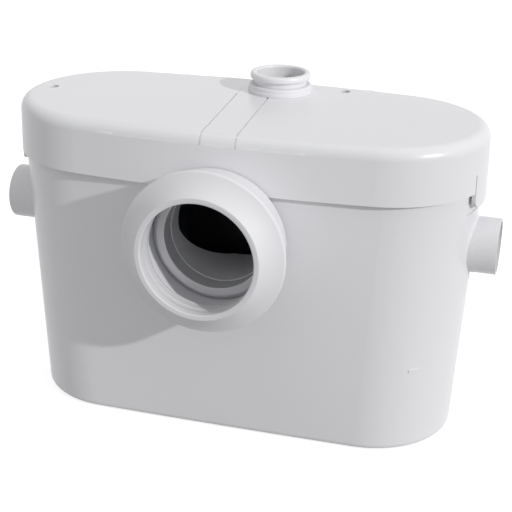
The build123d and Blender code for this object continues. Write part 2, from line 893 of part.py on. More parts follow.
def make_volute():
    """Pump casing with its eye at the left and an upright discharge socket."""
    case = rod(SHAFT, volute_radius, volute_left, volute_right - volute_cover)
    skirt = rod(SHAFT, eye_radius + volute_wall, volute_left - eye_skirt, volute_left)
    outlet = upright(riser_x, riser_y)
    middle = (volute_left + volute_right - volute_cover) / 2
    throat_outer = rod(upright(middle, riser_y), riser_bore - volute_wall, shaft_z, socket_top - socket_depth)
    seat = riser_radius + seat_gap
    socket = rod(outlet, seat + socket_wall, socket_top - socket_depth - socket_wall, socket_top)
    case = case + skirt + throat_outer + socket
    case -= rod(SHAFT, volute_radius - volute_wall, volute_left + volute_wall, volute_right - volute_cover)
    case -= rod(SHAFT, eye_radius, volute_left - eye_skirt - overrun, volute_left + volute_wall + overrun)
    throat_bore = riser_bore - volute_wall - volute_wall
    case -= rod(upright(middle, riser_y), throat_bore, shaft_z, socket_top)
    case -= rod(outlet, seat, socket_top - socket_depth, socket_top + overrun)
    return case


def make_volute_plate():
    """Plate that closes the volute towards the basket."""
    plate = rod(SHAFT, volute_radius, volute_right - volute_cover, volute_right)
    return plate - rod(SHAFT, shaft_radius + slip_gap, volute_left, volute_right + overrun)


def make_impeller():
    """Open impeller: hub, back disc and curved blades."""
    back = volute_right - volute_cover - impeller_back_gap
    disc = rod(SHAFT, impeller_radius, back - impeller_disc, back)
    hub = rod(SHAFT, impeller_hub_radius, back - impeller_disc - impeller_blade_height, back)
    wheel = disc + hub
    face = SHAFT.offset(back - impeller_disc - impeller_blade_height)
    middle_radius = (impeller_hub_radius + impeller_radius) / 2
    sweep_angle = radians(blade_sweep)
    tip_angle = radians(blade_tip_turn)
    tip_radius = impeller_radius - slip_gap
    arc = ThreePointArc(
        (impeller_hub_radius - impeller_blade_thickness, 0),
        (middle_radius * cos(sweep_angle / 2), middle_radius * sin(sweep_angle)),
        (tip_radius * cos(tip_angle), tip_radius * sin(tip_angle)),
    )
    blade = extrude(trace(arc, impeller_blade_thickness), impeller_blade_height)
    rim = Cylinder(impeller_radius, impeller_blade_height, align=BASE)
    blade = blade & rim
    for index in range(impeller_blades):
        wheel += face * Rot(0, 0, index * full_turn / impeller_blades) * blade
    return wheel - rod(SHAFT, shaft_radius, volute_left, volute_right)


def make_nuts():
    """Identical hexagon nuts that hold impeller and cutter on the shaft."""
    back = volute_right - volute_cover - impeller_back_gap
    impeller_face = back - impeller_disc - impeller_blade_height
    cutter_face = cutter_x - cutter_hub_length / 2
    nuts = []
    for face in (impeller_face, cutter_face):
        outline = RegularPolygon(nut_radius, nut_sides) - Circle(shaft_radius)
        nuts.append(extrude(SHAFT.offset(face - nut_length) * outline, nut_length))
    return Compound(children=nuts)


def make_cradle():
    """Base plate with three saddles that carry volute, seal plate and motor."""
    top = cradle_top
    plate = block(
        (volute_left, can_right - saddle_thickness),
        (shaft_y - cradle_width / 2, shaft_y + cradle_width / 2),
        (top - cradle_thickness, top),
    )
    saddles = (
        ((volute_left + volute_right) / 2, volute_radius),
        (basket_right - saddle_thickness, basket_radius),
        (can_right - saddle_thickness * 2, can_radius),
    )
    for x, radius in saddles:
        leg = block(
            (x - saddle_thickness / 2, x + saddle_thickness / 2),
            (shaft_y - saddle_half_width, shaft_y + saddle_half_width),
            (top, shaft_z - radius / 2),
        )
        plate = plate + (leg - rod(SHAFT, radius + seat_gap, x - saddle_thickness, x + saddle_thickness))
    return plate


def make_buffers():
    """Four rubber buffers between cradle and tank floor."""
    top = cradle_top - cradle_thickness
    buffers = []
    for x in (volute_left + buffer_inset, can_right - saddle_thickness - buffer_inset):
        for sign in (-1, 1):
            y = shaft_y + sign * (cradle_width / 2 - buffer_inset)
            buffers.append(rod(upright(x, y), buffer_radius, floor_z, top))
    return Compound(children=buffers)


def riser_path():
    """Centre line of the riser: up, across to the spigot, and up again."""
    points = [
        (riser_x, riser_y, socket_top - socket_depth),
        (riser_x, riser_y, riser_low_bend_z),
        (spigot_x, spigot_y, riser_high_bend_z),
        (spigot_x, spigot_y, riser_top),
    ]
    return FilletPolyline(*points, radius=riser_bend)


def make_riser():
    """Bent discharge riser from the volute's socket to below the spigot."""
    path = riser_path()
    start = Plane(origin=path @ 0, z_dir=path % 0)
    return sweep(start * (Circle(riser_radius) - Circle(riser_bore)), path=path)


def make_discharge_spigot():
    """Discharge spigot: nipple, valve seat, flap chamber, straight pipe and rolled lip."""
    origin = (spigot_x, spigot_y, 0)
    nipple_bottom = spigot_foot - nipple_length
    lip_low = spigot_top - spigot_lip_height
    profile = [
        (seat_bore, nipple_bottom),
        (riser_radius, nipple_bottom),
        (riser_radius, spigot_foot),
        (spigot_outer, spigot_foot),
        (spigot_outer, lip_low),
        (spigot_lip_radius - spigot_lip_round, lip_low),
        (spigot_lip_radius, lip_low + spigot_lip_round),
        (spigot_lip_radius, spigot_top - spigot_lip_round),
        (spigot_lip_radius - spigot_lip_round, spigot_top),
        (spigot_bore + spigot_lip_round / 2, spigot_top),
        (spigot_bore, spigot_top - spigot_lip_round / 2),
        (spigot_bore, spigot_seat_z + chamber_height),
        (chamber_radius, spigot_seat_z + chamber_height),
        (chamber_radius, spigot_seat_z),
        (seat_bore, spigot_seat_z),
    ]
    body = turned(profile, origin, (1, 0, 0), (0, 0, 1))
    return body - rod(discharge_pin_plane(), flap_pin_radius, -spigot_outer, spigot_outer)


def discharge_pin_plane():
    """Plane through the discharge flap's pin, whose normal lies along the pin."""
    height = spigot_seat_z + knuckle_radius + slip_gap
    origin = (spigot_x, spigot_y + riser_flap_pin_offset, height)
    return Plane(origin=origin, x_dir=(0, 1, 0), z_dir=(1, 0, 0))


def make_discharge_flap():
    """Round flap that lies on the valve seat, with a knuckle at its back edge."""
    low = spigot_seat_z + slip_gap
    disc = rod(upright(spigot_x, spigot_y), riser_flap_radius, low, low + flap_thickness)
    pin = discharge_pin_plane()
    half = riser_knuckle_half
    knuckle = rod(pin, knuckle_radius, -half, half)
    arm = block(
        (spigot_x - half, spigot_x + half),
        (spigot_y, spigot_y + riser_flap_pin_offset),
        (low, low + flap_thickness + flap_thickness / 2),
    )
    flap = disc + arm + knuckle
    return flap - rod(pin, flap_pin_radius + run_gap, -spigot_outer, spigot_outer)


def make_discharge_pin():
    """Pin of the discharge flap, across the spigot's wall."""
    offset = riser_flap_pin_offset
    half = sqrt(chamber_radius**2 - offset**2) + spigot_outer - chamber_radius
    return rod(discharge_pin_plane(), flap_pin_radius, -half, half)


def make_sleeve():
    """Rubber sleeve that joins riser and spigot."""
    low = riser_top - sleeve_overlap
    high = spigot_foot - seat_gap
    return pipe(upright(spigot_x, spigot_y), riser_radius + sleeve_wall, riser_radius, low, high)


def make_clamps():
    """Two worm-drive clamps on the rubber sleeve."""
    low = riser_top - sleeve_overlap
    high = spigot_foot - seat_gap
    inner = riser_radius + sleeve_wall
    clamps = []
    for start in (low + slip_gap, high - clamp_width - slip_gap):
        band = pipe(upright(spigot_x, spigot_y), inner + clamp_thickness, inner, start, start + clamp_width)
        worm = Plane(
            origin=(spigot_x + inner + clamp_screw_radius, spigot_y, start + clamp_width / 2),
            x_dir=(1, 0, 0),
            z_dir=(0, -1, 0),
        )
        screw = rod(worm, clamp_screw_radius, -clamp_screw_length / 2, clamp_screw_length / 2)
        screw -= rod(upright(spigot_x, spigot_y), inner + clamp_thickness / 2, low, high)
        clamps.append(band + screw)
    return Compound(children=clamps)


def make_grommet():
    """Stepped rubber ring that seals the spigot in the lid."""
    origin = (spigot_x, spigot_y, 0)
    low = lid_top
    step_low = low + grommet_height
    high = step_low + grommet_step_height
    profile = [
        (spigot_outer, low),
        (grommet_radius, low),
        (grommet_radius, step_low - grommet_ease),
        (grommet_radius - grommet_ease, step_low),
        (grommet_step_radius, step_low),
        (grommet_step_radius, high - grommet_ease),
        (grommet_step_radius - grommet_ease, high),
        (spigot_outer, high),
    ]
    return turned(profile, origin, (1, 0, 0), (0, 0, 1))


def side_pin_plane(side):
    """Plane through a side flap's pin, whose normal lies along the pin."""
    x = side * (side_seat_x - slip_gap - flap_thickness / 2)
    return Plane(origin=(x, 0, side_z + side_pin_rise), x_dir=(1, 0, 0), z_dir=(0, 1, 0))


def make_side_spigot(side, cavity):
    """Waste spigot with its inner flange, flap seat and two hinge ears."""
    plane = side_plane(side)
    body = rod(plane, side_root_radius, side_seat_x, side_root_x)
    body += rod(plane, side_radius, side_root_x, side_x)
    flange = rod(plane, side_flange_radius, side_seat_x, side_x) & cavity
    flange = flange & rod(plane, side_flange_radius, side_flange_x, side_x)
    body = body + flange
    pin = side_pin_plane(side)
    ears = []
    for sign in (-1, 1):
        inner = sign * side_ear_gap / 2
        outer = inner + sign * flap_ear
        ear = block(
            sorted((pin.origin.X - side * knuckle_radius, side * (side_flange_x + side_wall))),
            sorted((inner, outer)),
            (side_z + side_flap_radius + slip_gap, side_z + side_pin_rise + knuckle_radius),
        )
        ears.append(ear)
    body = body + ears[0] + ears[1]
    body -= rod(plane, side_radius - side_wall, side_seat_x - overrun * 2, side_x + overrun)
    return body - rod(pin, flap_pin_radius, -side_flange_radius, side_flange_radius)


def make_side_flap(side):
    """Hanging flap that closes the inner end of a side spigot."""
    plane = side_plane(side)
    face = side_seat_x - slip_gap
    disc = rod(plane, side_flap_radius, face - flap_thickness, face)
    pin = side_pin_plane(side)
    half = side_ear_gap / 2 - slip_gap
    knuckle = rod(pin, knuckle_radius, -half, half)
    strap = block(
        sorted((side * (face - flap_thickness), side * face)),
        (-half, half),
        (side_z, side_z + side_pin_rise),
    )
    relief = rod(plane, side_radius + side_wall, face, face + knuckle_radius)
    flap = disc + strap + (knuckle - relief)
    return flap - rod(pin, flap_pin_radius + run_gap, -side_flange_radius, side_flange_radius)


def make_side_pins():
    """One pin for each side flap, held in the ears."""
    half = side_ear_gap / 2 + flap_ear
    pins = [rod(side_pin_plane(side), flap_pin_radius, -half, half) for side in (-1, 1)]
    return Compound(children=pins)


def make_level_tube():
    """Dip tube open at the bottom, with a flared dome under the membrane."""
    dome_low = membrane_z - dome_depth
    outer = level_tube_radius
    inner = level_tube_radius - level_tube_wall
    profile = [
        (inner, level_tube_bottom),
        (outer, level_tube_bottom),
        (outer, dome_low - dome_depth),
        (dome_radius, dome_low),
        (dome_radius, membrane_z),
        (dome_radius - level_tube_wall, membrane_z),
        (dome_radius - level_tube_wall, dome_low + level_tube_wall),
        (inner, dome_low - dome_depth + level_tube_wall),
    ]
    tube = turned(profile, (level_x, level_y, 0), (1, 0, 0), (0, 0, 1))
    slot = block(
        (level_x - dome_radius, level_x + dome_radius),
        (level_y - level_slot_width / 2, level_y + level_slot_width / 2),
        (0, level_tube_bottom + level_slot_height),
    )
    return tube - slot


def make_membrane():
    """Rubber membrane clamped at its edge, with a raised bead inside it."""
    axis = upright(level_x, level_y)
    disc = rod(axis, dome_radius, membrane_z, membrane_z + membrane_thickness)
    bead_outer = dome_radius - level_tube_wall - slip_gap
    bead = pipe(axis, bead_outer, bead_outer - level_tube_wall, membrane_z - membrane_bead, membrane_z)
    return disc + bead


def make_level_housing():
    """Ring between membrane and inner cover that guides the piston plate."""
    axis = upright(level_x, level_y)
    return pipe(axis, dome_radius, piston_radius + slip_gap, membrane_z + membrane_thickness, cover_z)


def make_plunger():
    """Piston plate and plunger that lift the switch lever."""
    axis = upright(level_x, level_y)
    plate = rod(axis, piston_radius, piston_z, piston_z + piston_thickness)
    stem = rod(axis, plunger_radius, piston_z, plunger_top)
    return plate + chamfer(stem.edges().sort_by(Axis.Z)[-1], plunger_chamfer)


def make_spring():
    """Return spring between piston plate and inner cover, around the plunger."""
    low = piston_z + piston_thickness + spring_wire
    high = cover_z - spring_wire
    path = Pos(level_x, level_y, low) * Helix((high - low) / spring_turns, high - low, spring_radius)
    start = Plane(origin=path @ 0, z_dir=path % 0)
    return sweep(start * Circle(spring_wire / 2), path=path)


def make_micro_switch():
    """Snap switch on the inner cover, with its lever over the plunger."""
    body = block(
        (level_x + plunger_radius * 2, level_x + plunger_radius * 2 + switch_length),
        (level_y - switch_width / 2, level_y + switch_width / 2),
        (deck_z, deck_z + switch_height),
    )
    lever_z = plunger_top + plunger_travel + slip_gap
    lever = block(
        (level_x - plunger_radius, level_x + plunger_radius * 2),
        (level_y - plunger_radius, level_y + plunger_radius),
        (lever_z, lever_z + lever_thickness),
    )
    return body + lever


def make_control_box():
    """Small closed box for the wiring, with a ribbed foot and a cable nose."""
    body = block(
        (box_x - box_length / 2, box_x + box_length / 2),
        (box_y - box_width / 2, box_y + box_width / 2),
        (deck_z, deck_z + box_height),
    )
    body = fillet(body.edges().filter_by(Axis.Z), box_round)
    hollow = block(
        (box_x - box_length / 2 + box_wall, box_x + box_length / 2 - box_wall),
        (box_y - box_width / 2 + box_wall, box_y + box_width / 2 - box_wall),
        (deck_z - overrun, deck_z + box_height - box_wall),
    )
    return body - hollow


def capacitor_plane():
    """Plane at the capacitor's left end, whose normal runs along it."""
    height = deck_z + clip_wall + capacitor_radius + seat_gap
    return Plane(origin=(capacitor_x, capacitor_y, height), x_dir=(0, 1, 0), z_dir=(1, 0, 0))


def make_capacitor():
    """Run capacitor with a stepped terminal end."""
    half = capacitor_length / 2
    body = rod(capacitor_plane(), capacitor_radius, -half, half)
    body = fillet(body.edges().filter_by(GeomType.CIRCLE), capacitor_round)
    return body + rod(capacitor_plane(), capacitor_radius / 2, -half - capacitor_neck, -half)


def make_clip():
    """Spring clip that holds the capacitor on the inner cover."""
    plane = capacitor_plane()
    half = clip_width / 2
    inner = capacitor_radius + seat_gap
    ring = pipe(plane, inner + clip_wall, inner, -half, half)
    height = plane.origin.Z
    gap = block(
        (capacitor_x - clip_width, capacitor_x + clip_width),
        (capacitor_y - inner * 2, capacitor_y + inner * 2),
        (height + inner * clip_opening_share, height + inner * 2),
    )
    foot = block(
        (capacitor_x - half, capacitor_x + half),
        (capacitor_y - inner, capacitor_y + inner),
        (deck_z, deck_z + clip_wall),
    )
    return ring + foot - gap - rod(plane, inner, -clip_width, clip_width)


def make_vent():
    """Slotted cap of the charcoal vent on the inner cover."""
    cap = rod(upright(vent_x, vent_y), vent_radius, deck_z, deck_z + vent_height)
    cap = fillet(cap.edges().sort_by(Axis.Z)[-1], vent_round)
    pitch = vent_radius * 2 / (vent_slots + 1)
    for index in range(vent_slots):
        x = vent_x - vent_radius + pitch * (index + 1)
        cap -= block(
            (x - vent_slot_width / 2, x + vent_slot_width / 2),
            (vent_y - vent_radius / 2, vent_y + vent_radius / 2),
            (deck_z + vent_height / 2, deck_z + vent_height + overrun),
        )
    return cap


def make_gland():
    """Cable gland: flanged body through the boss, with a hexagonal nut."""
    plane = gland_plane()
    face = lid_half_depth + gland_flange
    back = face + gland_reach - gland_flange
    body = rod(plane, gland_bore + gland_flange - seat_gap, lid_half_depth - lid_shoulder, face)
    nut = extrude(plane.offset(face) * RegularPolygon(gland_radius, gland_sides), gland_reach / 2)
    dome = rod(plane, gland_radius * cos(pi / gland_sides), face, back)
    dome = chamfer(dome.edges().sort_by(Axis.Y)[-1], gland_flange)
    return body + nut + dome - rod(plane, gland_bore, 0, back + overrun)


os.makedirs("parts", exist_ok=True)

cavity = tank_cavity()
save(make_tank(cavity), "tank")
save(make_lid(), "lid")
save(make_gasket(), "lid_gasket")
save(make_inner_cover(), "inner_cover")
save(make_screws(), "lid_screws")
save(make_pads(), "floor_pads")
save(make_collar(), "pan_collar")
save(make_spout(), "inlet_spout")
save(make_hood(cavity), "inlet_hood")
save(make_basket(), "macerating_basket")
save(make_cutter(), "cutter_blade")
save(make_seal_plate(), "seal_plate")
save(make_motor_can(), "motor_can")
save(make_stator(), "stator_core")
save(make_windings(), "stator_windings")
save(make_rotor_core(), "rotor_core")
save(make_bearings(), "shaft_bearings")
save(make_shaft(), "motor_shaft")
save(make_shaft_seal(), "shaft_seal")
save(make_volute(), "pump_volute")
save(make_volute_plate(), "volute_plate")
save(make_impeller(), "impeller")
save(make_nuts(), "shaft_nuts")
save(make_cradle(), "pump_cradle")
save(make_buffers(), "rubber_buffers")
save(make_riser(), "riser_pipe")
save(make_discharge_spigot(), "discharge_spigot")
save(make_discharge_flap(), "discharge_flap")
save(make_discharge_pin(), "discharge_flap_pin")
save(make_sleeve(), "riser_sleeve")
save(make_clamps(), "hose_clamps")
save(make_grommet(), "discharge_grommet")
save(make_side_spigot(-1, cavity), "side_spigot_left")
save(make_side_spigot(1, cavity), "side_spigot_right")
save(make_side_flap(-1), "inlet_flap_left")
save(make_side_flap(1), "inlet_flap_right")
save(make_side_pins(), "inlet_flap_pins")
save(make_level_tube(), "pressure_tube")
save(make_membrane(), "level_membrane")
save(make_level_housing(), "level_housing")
save(make_plunger(), "level_plunger")
save(make_spring(), "plunger_spring")
save(make_micro_switch(), "micro_switch")
save(make_control_box(), "control_box")
save(make_capacitor(), "capacitor")
save(make_clip(), "capacitor_clip")
save(make_vent(), "vent_filter")
save(make_gland(), "cable_gland")
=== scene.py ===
import bmesh
import bpy
import numpy as np
from mathutils import Matrix, Vector


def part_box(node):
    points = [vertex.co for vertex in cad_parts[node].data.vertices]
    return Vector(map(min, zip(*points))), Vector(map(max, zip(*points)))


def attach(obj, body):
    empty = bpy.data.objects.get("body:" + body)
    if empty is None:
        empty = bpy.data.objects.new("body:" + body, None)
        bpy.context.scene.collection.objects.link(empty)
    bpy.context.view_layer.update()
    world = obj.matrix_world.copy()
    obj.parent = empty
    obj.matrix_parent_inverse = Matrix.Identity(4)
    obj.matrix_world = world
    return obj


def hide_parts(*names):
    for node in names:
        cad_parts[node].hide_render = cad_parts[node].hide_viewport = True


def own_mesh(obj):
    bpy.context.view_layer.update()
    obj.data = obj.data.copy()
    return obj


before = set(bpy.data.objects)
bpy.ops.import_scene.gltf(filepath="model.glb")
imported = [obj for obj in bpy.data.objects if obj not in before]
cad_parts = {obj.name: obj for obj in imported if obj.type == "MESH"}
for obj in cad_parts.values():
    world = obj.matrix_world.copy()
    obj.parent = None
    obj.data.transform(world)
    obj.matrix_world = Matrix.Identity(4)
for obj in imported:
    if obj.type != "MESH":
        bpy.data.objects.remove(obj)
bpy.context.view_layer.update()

mm = 0.001

# Tank: one deep injection moulding in white ABS, open at the top, with draft on its walls
# and the faint grain of a spark-eroded mould. It stands on the floor behind the pan.


def put(tree, kind, inputs=None, **settings):
    """One shader node. Each input is a value or another node's output."""
    node = tree.nodes.new("ShaderNode" + kind)
    for key, value in settings.items():
        setattr(node, key, value)
    for key, value in (inputs or {}).items():
        if isinstance(value, bpy.types.NodeSocket):
            tree.links.new(value, node.inputs[key])
        else:
            node.inputs[key].default_value = value
    return node


def maths(tree, operation, *terms):
    """One sum on shader values."""
    return put(tree, "Math", dict(enumerate(terms)), operation=operation).outputs[0]


def noise(tree, place, scale, detail):
    """Noise at a place, with so many finer layers laid over it."""
    return put(tree, "TexNoise", {"Vector": place, "Scale": scale, "Detail": detail}).outputs[0]


def blend(tree, share, first, second):
    """The first colour, mixed with the second by the share."""
    return put(tree, "Mix", {0: share, 6: first, 7: second}, data_type="RGBA").outputs[2]


def effect(name, colours, numbers):
    """An empty node group with named inputs, and with Colour, Roughness and Height to give."""
    group = bpy.data.node_groups.new(name, "ShaderNodeTree")
    for label in colours:
        group.interface.new_socket(label, in_out="INPUT", socket_type="NodeSocketColor")
    for label in numbers:
        group.interface.new_socket(label, in_out="INPUT", socket_type="NodeSocketFloat")
    group.interface.new_socket("Colour", in_out="OUTPUT", socket_type="NodeSocketColor")
    group.interface.new_socket("Roughness", in_out="OUTPUT", socket_type="NodeSocketFloat")
    group.interface.new_socket("Height", in_out="OUTPUT", socket_type="NodeSocketFloat")
    return group


def give(group, colour, roughness, height):
    """Joins a node group's results to its outputs."""
    results = group.nodes.new("NodeGroupOutput").inputs
    group.links.new(colour, results["Colour"])
    group.links.new(roughness, results["Roughness"])
    group.links.new(height, results["Height"])
    return group


def moulded_skin():
    """Broad noise drifts colour and gloss, fine noise is the mould's texture, and thin noise
    drawn out flat leaves the odd rub mark.
    colour = colour mixed with shade by broad times drift
    roughness = level plus (broad less a half) times spread, plus the marks
    height = fine noise less the marks."""
    numbers = ("Drift", "Level", "Spread", "Patch", "Grain", "Marks")
    group = effect("moulded_skin", ("Colour", "Shade"), numbers)
    given = group.nodes.new("NodeGroupInput").outputs
    place = put(group, "TexCoord").outputs["Object"]
    broad = noise(group, place, given["Patch"], detail=4.0)
    fine = noise(group, place, given["Grain"], detail=2.0)
    drawn = put(group, "Mapping", {"Vector": place, "Rotation": mark_turns, "Scale": mark_stretch})
    thin = noise(group, drawn.outputs[0], mark_scale, detail=3.0)
    rub = put(group, "MapRange", {"Value": thin, "From Min": mark_onset, "From Max": mark_full})
    rub = maths(group, "MULTIPLY", rub.outputs[0], given["Marks"])
    share = maths(group, "MULTIPLY", broad, given["Drift"])
    tint = blend(group, share, given["Colour"], given["Shade"])
    swing = maths(group, "SUBTRACT", broad, 0.5)
    rough = maths(group, "MULTIPLY_ADD", swing, given["Spread"], given["Level"])
    return give(group, tint, maths(group, "ADD", rough, rub), maths(group, "SUBTRACT", fine, rub))


def finish(name, group, values, depth, shader=None):
    """A finish: a group's colour, roughness and height into one Principled shader."""
    material = bpy.data.materials.new(name)
    material.use_nodes = True
    tree = material.node_tree
    body = tree.nodes["Principled BSDF"]
    given = put(tree, "Group", values, node_tree=group).outputs
    bump = put(tree, "Bump", {"Strength": 1.0, "Distance": depth, "Height": given["Height"]})
    tree.links.new(given["Colour"], body.inputs["Base Color"])
    tree.links.new(given["Roughness"], body.inputs["Roughness"])
    tree.links.new(bump.outputs[0], body.inputs["Normal"])
    for key, value in (shader or {}).items():
        body.inputs[key].default_value = value
    return material


def dress(material, *names):
    """Gives CAD nodes a material."""
    for name in names:
        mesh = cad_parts[name].data
        mesh.materials.clear()
        mesh.materials.append(material)


mark_turns = (0.3, 0.5, 0.2)
mark_stretch = (1, 9, 14)
mark_scale = 24.0
mark_onset = 0.66
mark_full = 0.72
skin = moulded_skin()
white_moulding_grain = 0.02 * mm
white_moulding = finish(
    "white moulding",
    skin,
    {
        "Colour": (0.80, 0.80, 0.82, 1),
        "Shade": (0.74, 0.74, 0.765, 1),
        "Drift": 0.30,
        "Level": 0.30,
        "Spread": 0.10,
        "Patch": 9.0,
        "Grain": 1500.0,
        "Marks": 0.05,
    },
    depth=white_moulding_grain,
    shader={"IOR": 1.50},
)
dress(white_moulding, "tank")

# Floor pads: three strips of black rubber pressed into pockets under the tank, against
# noise. The gasket on the rim, the flaps and the shaft's lip seal are the same soft compound.

black_rubber_grain = 0.06 * mm
black_rubber = finish(
    "black rubber",
    skin,
    {
        "Colour": (0.022, 0.022, 0.024, 1),
        "Shade": (0.055, 0.055, 0.058, 1),
        "Drift": 0.55,
        "Level": 0.62,
        "Spread": 0.22,
        "Patch": 60.0,
        "Grain": 900.0,
        "Marks": 0.10,
    },
    depth=black_rubber_grain,
    shader={"Specular IOR Level": 0.35},
)
dress(black_rubber, "floor_pads")

# Cradle and buffers: a grey glass-filled moulding under the motor and pump, on four rubber
# buffers, so that the tank doesn't carry the motor's hum.

grey_moulding_grain = 0.05 * mm
grey_moulding = finish(
    "grey glass-filled moulding",
    skin,
    {
        "Colour": (0.235, 0.245, 0.255, 1),
        "Shade": (0.31, 0.32, 0.33, 1),
        "Drift": 0.60,
        "Level": 0.46,
        "Spread": 0.16,
        "Patch": 140.0,
        "Grain": 1100.0,
        "Marks": 0.06,
    },
    depth=grey_moulding_grain,
)
dress(grey_moulding, "pump_cradle")
dress(black_rubber, "rubber_buffers")

# Basket and hood: black mouldings that hold the waste against the cutter. The blade and the
# shaft are stamped and turned stainless steel; the seal plate is an aluminium casting.


def worked_metal():
    """Noise drawn out along one direction leaves tool streaks, and broad noise stains the skin.
    colour = colour mixed with stain by broad times drift
    roughness = level plus (streak less a half) times spread
    height = streak plus fine pitting times pits."""
    numbers = ("Drift", "Level", "Spread", "Patch", "Along", "Across", "Round", "Pits")
    group = effect("worked_metal", ("Colour", "Stain"), numbers)
    given = group.nodes.new("NodeGroupInput").outputs
    place = put(group, "TexCoord").outputs["Object"]
    stretch = put(group, "CombineXYZ", {0: given["Along"], 1: given["Across"], 2: given["Round"]})
    drawn = put(group, "VectorMath", {0: place, 1: stretch.outputs[0]}, operation="MULTIPLY")
    streak = noise(group, drawn.outputs[0], scale=1.0, detail=3.0)
    broad = noise(group, place, given["Patch"], detail=5.0)
    fine = noise(group, place, pit_scale, detail=2.0)
    share = maths(group, "MULTIPLY", broad, given["Drift"])
    tint = blend(group, share, given["Colour"], given["Stain"])
    swing = maths(group, "SUBTRACT", streak, 0.5)
    rough = maths(group, "MULTIPLY_ADD", swing, given["Spread"], given["Level"])
    return give(group, tint, rough, maths(group, "MULTIPLY_ADD", fine, given["Pits"], streak))


black_moulding_grain = 0.04 * mm
black_moulding = finish(
    "black moulding",
    skin,
    {
        "Colour": (0.016, 0.016, 0.018, 1),
        "Shade": (0.035, 0.035, 0.040, 1),
        "Drift": 0.50,
        "Level": 0.42,
        "Spread": 0.18,
        "Patch": 70.0,
        "Grain": 1200.0,
        "Marks": 0.05,
    },
    depth=black_moulding_grain,
)
pit_scale = 1300.0
metal = worked_metal()
stainless_grain = 0.01 * mm
stainless = finish(
    "stainless steel",
    metal,
    {
        "Colour": (0.58, 0.57, 0.56, 1),
        "Stain": (0.42, 0.40, 0.38, 1),
        "Drift": 0.45,
        "Level": 0.24,
        "Spread": 0.20,
        "Patch": 55.0,
        "Along": 60.0,
        "Across": 2600.0,
        "Round": 2600.0,
        "Pits": 0.2,
    },
    depth=stainless_grain,
    shader={"Metallic": 1.0},
)
cast_aluminium_grain = 0.08 * mm
cast_aluminium = finish(
    "cast aluminium",
    metal,
    {
        "Colour": (0.56, 0.565, 0.57, 1),
        "Stain": (0.38, 0.38, 0.39, 1),
        "Drift": 0.70,
        "Level": 0.48,
        "Spread": 0.20,
        "Patch": 120.0,
        "Along": 700.0,
        "Across": 700.0,
        "Round": 700.0,
        "Pits": 1.0,
    },
    depth=cast_aluminium_grain,
    shader={"Metallic": 1.0},
)
dress(black_moulding, "macerating_basket")
dress(stainless, "cutter_blade")
dress(cast_aluminium, "seal_plate")

# Motor: a painted steel can round a stack of thin steel laminations, with copper windings
# laced at both ends. The rotor turns in two ball bearings behind a rubber lip seal.


def surface(name, *grids, poles=False):
    """One smooth mesh from grids of points. Each point joins its neighbours along both
    directions, and the last column joins the first. The last row joins the first too, or with
    poles both rows shrink to a point, which is merged. Where the signed volume, the sum of
    a . (b x c) over the faces, is negative, the faces are turned over."""
    points = []
    faces = []
    start = 0
    for grid in grids:
        flat = grid.reshape(-1, 3)
        index = np.arange(len(flat)).reshape(grid.shape[:2])
        down = np.roll(index, -1, axis=0)
        quads = np.stack((index, down, np.roll(down, -1, axis=1), np.roll(index, -1, axis=1)), axis=-1)
        quads = (quads[:-1] if poles else quads).reshape(-1, 4)
        a, b, c, d = (flat[quads[:, corner]] for corner in range(4))
        volume = (a * np.cross(b, c)).sum() + (a * np.cross(c, d)).sum()
        if volume < 0:
            quads = quads[:, ::-1]
        points.append(flat)
        faces.append(quads + start)
        start += len(flat)
    mesh = bpy.data.meshes.new(name)
    mesh.from_pydata(np.concatenate(points).tolist(), [], np.concatenate(faces).tolist())
    if poles:
        merged = bmesh.new()
        merged.from_mesh(mesh)
        bmesh.ops.remove_doubles(merged, verts=merged.verts, dist=same_point)
        merged.to_mesh(mesh)
        merged.free()
    mesh.shade_smooth()
    piece = bpy.data.objects.new(name, mesh)
    bpy.context.collection.objects.link(piece)
    return piece


def laced_ring(start, length, inner, outer, y, z):
    """End turns of a winding round the X axis. The section is a superellipse, whose sine and
    cosine are each raised to a power under one; its radius ripples with the strands, which
    climb round the section as they go round the ring, and pinches in under each lacing cord."""
    lap = np.linspace(0, 2 * np.pi, ring_steps, endpoint=False)[:, None]
    turn = np.linspace(0, 2 * np.pi, section_steps, endpoint=False)[None, :]
    ripple = strand_depth_share * np.abs(np.cos(strands / 2 * turn + strand_climb * lap))
    cord = np.exp(-((np.abs(np.sin(laces / 2 * lap)) / lace_width_share) ** 2))
    size = 1 - (strand_depth_share - ripple) * (1 - cord) - lace_depth_share * cord
    wave = np.cos(turn) + 0 * lap, np.sin(turn) + 0 * lap
    square = [np.sign(part) * np.abs(part) ** section_power for part in wave]
    radius = (inner + outer) / 2 + (outer - inner) / 2 * size * square[0]
    along = start + length / 2 + length / 2 * size * square[1]
    return np.stack((along, y + radius * np.cos(lap), z + radius * np.sin(lap)), axis=-1)


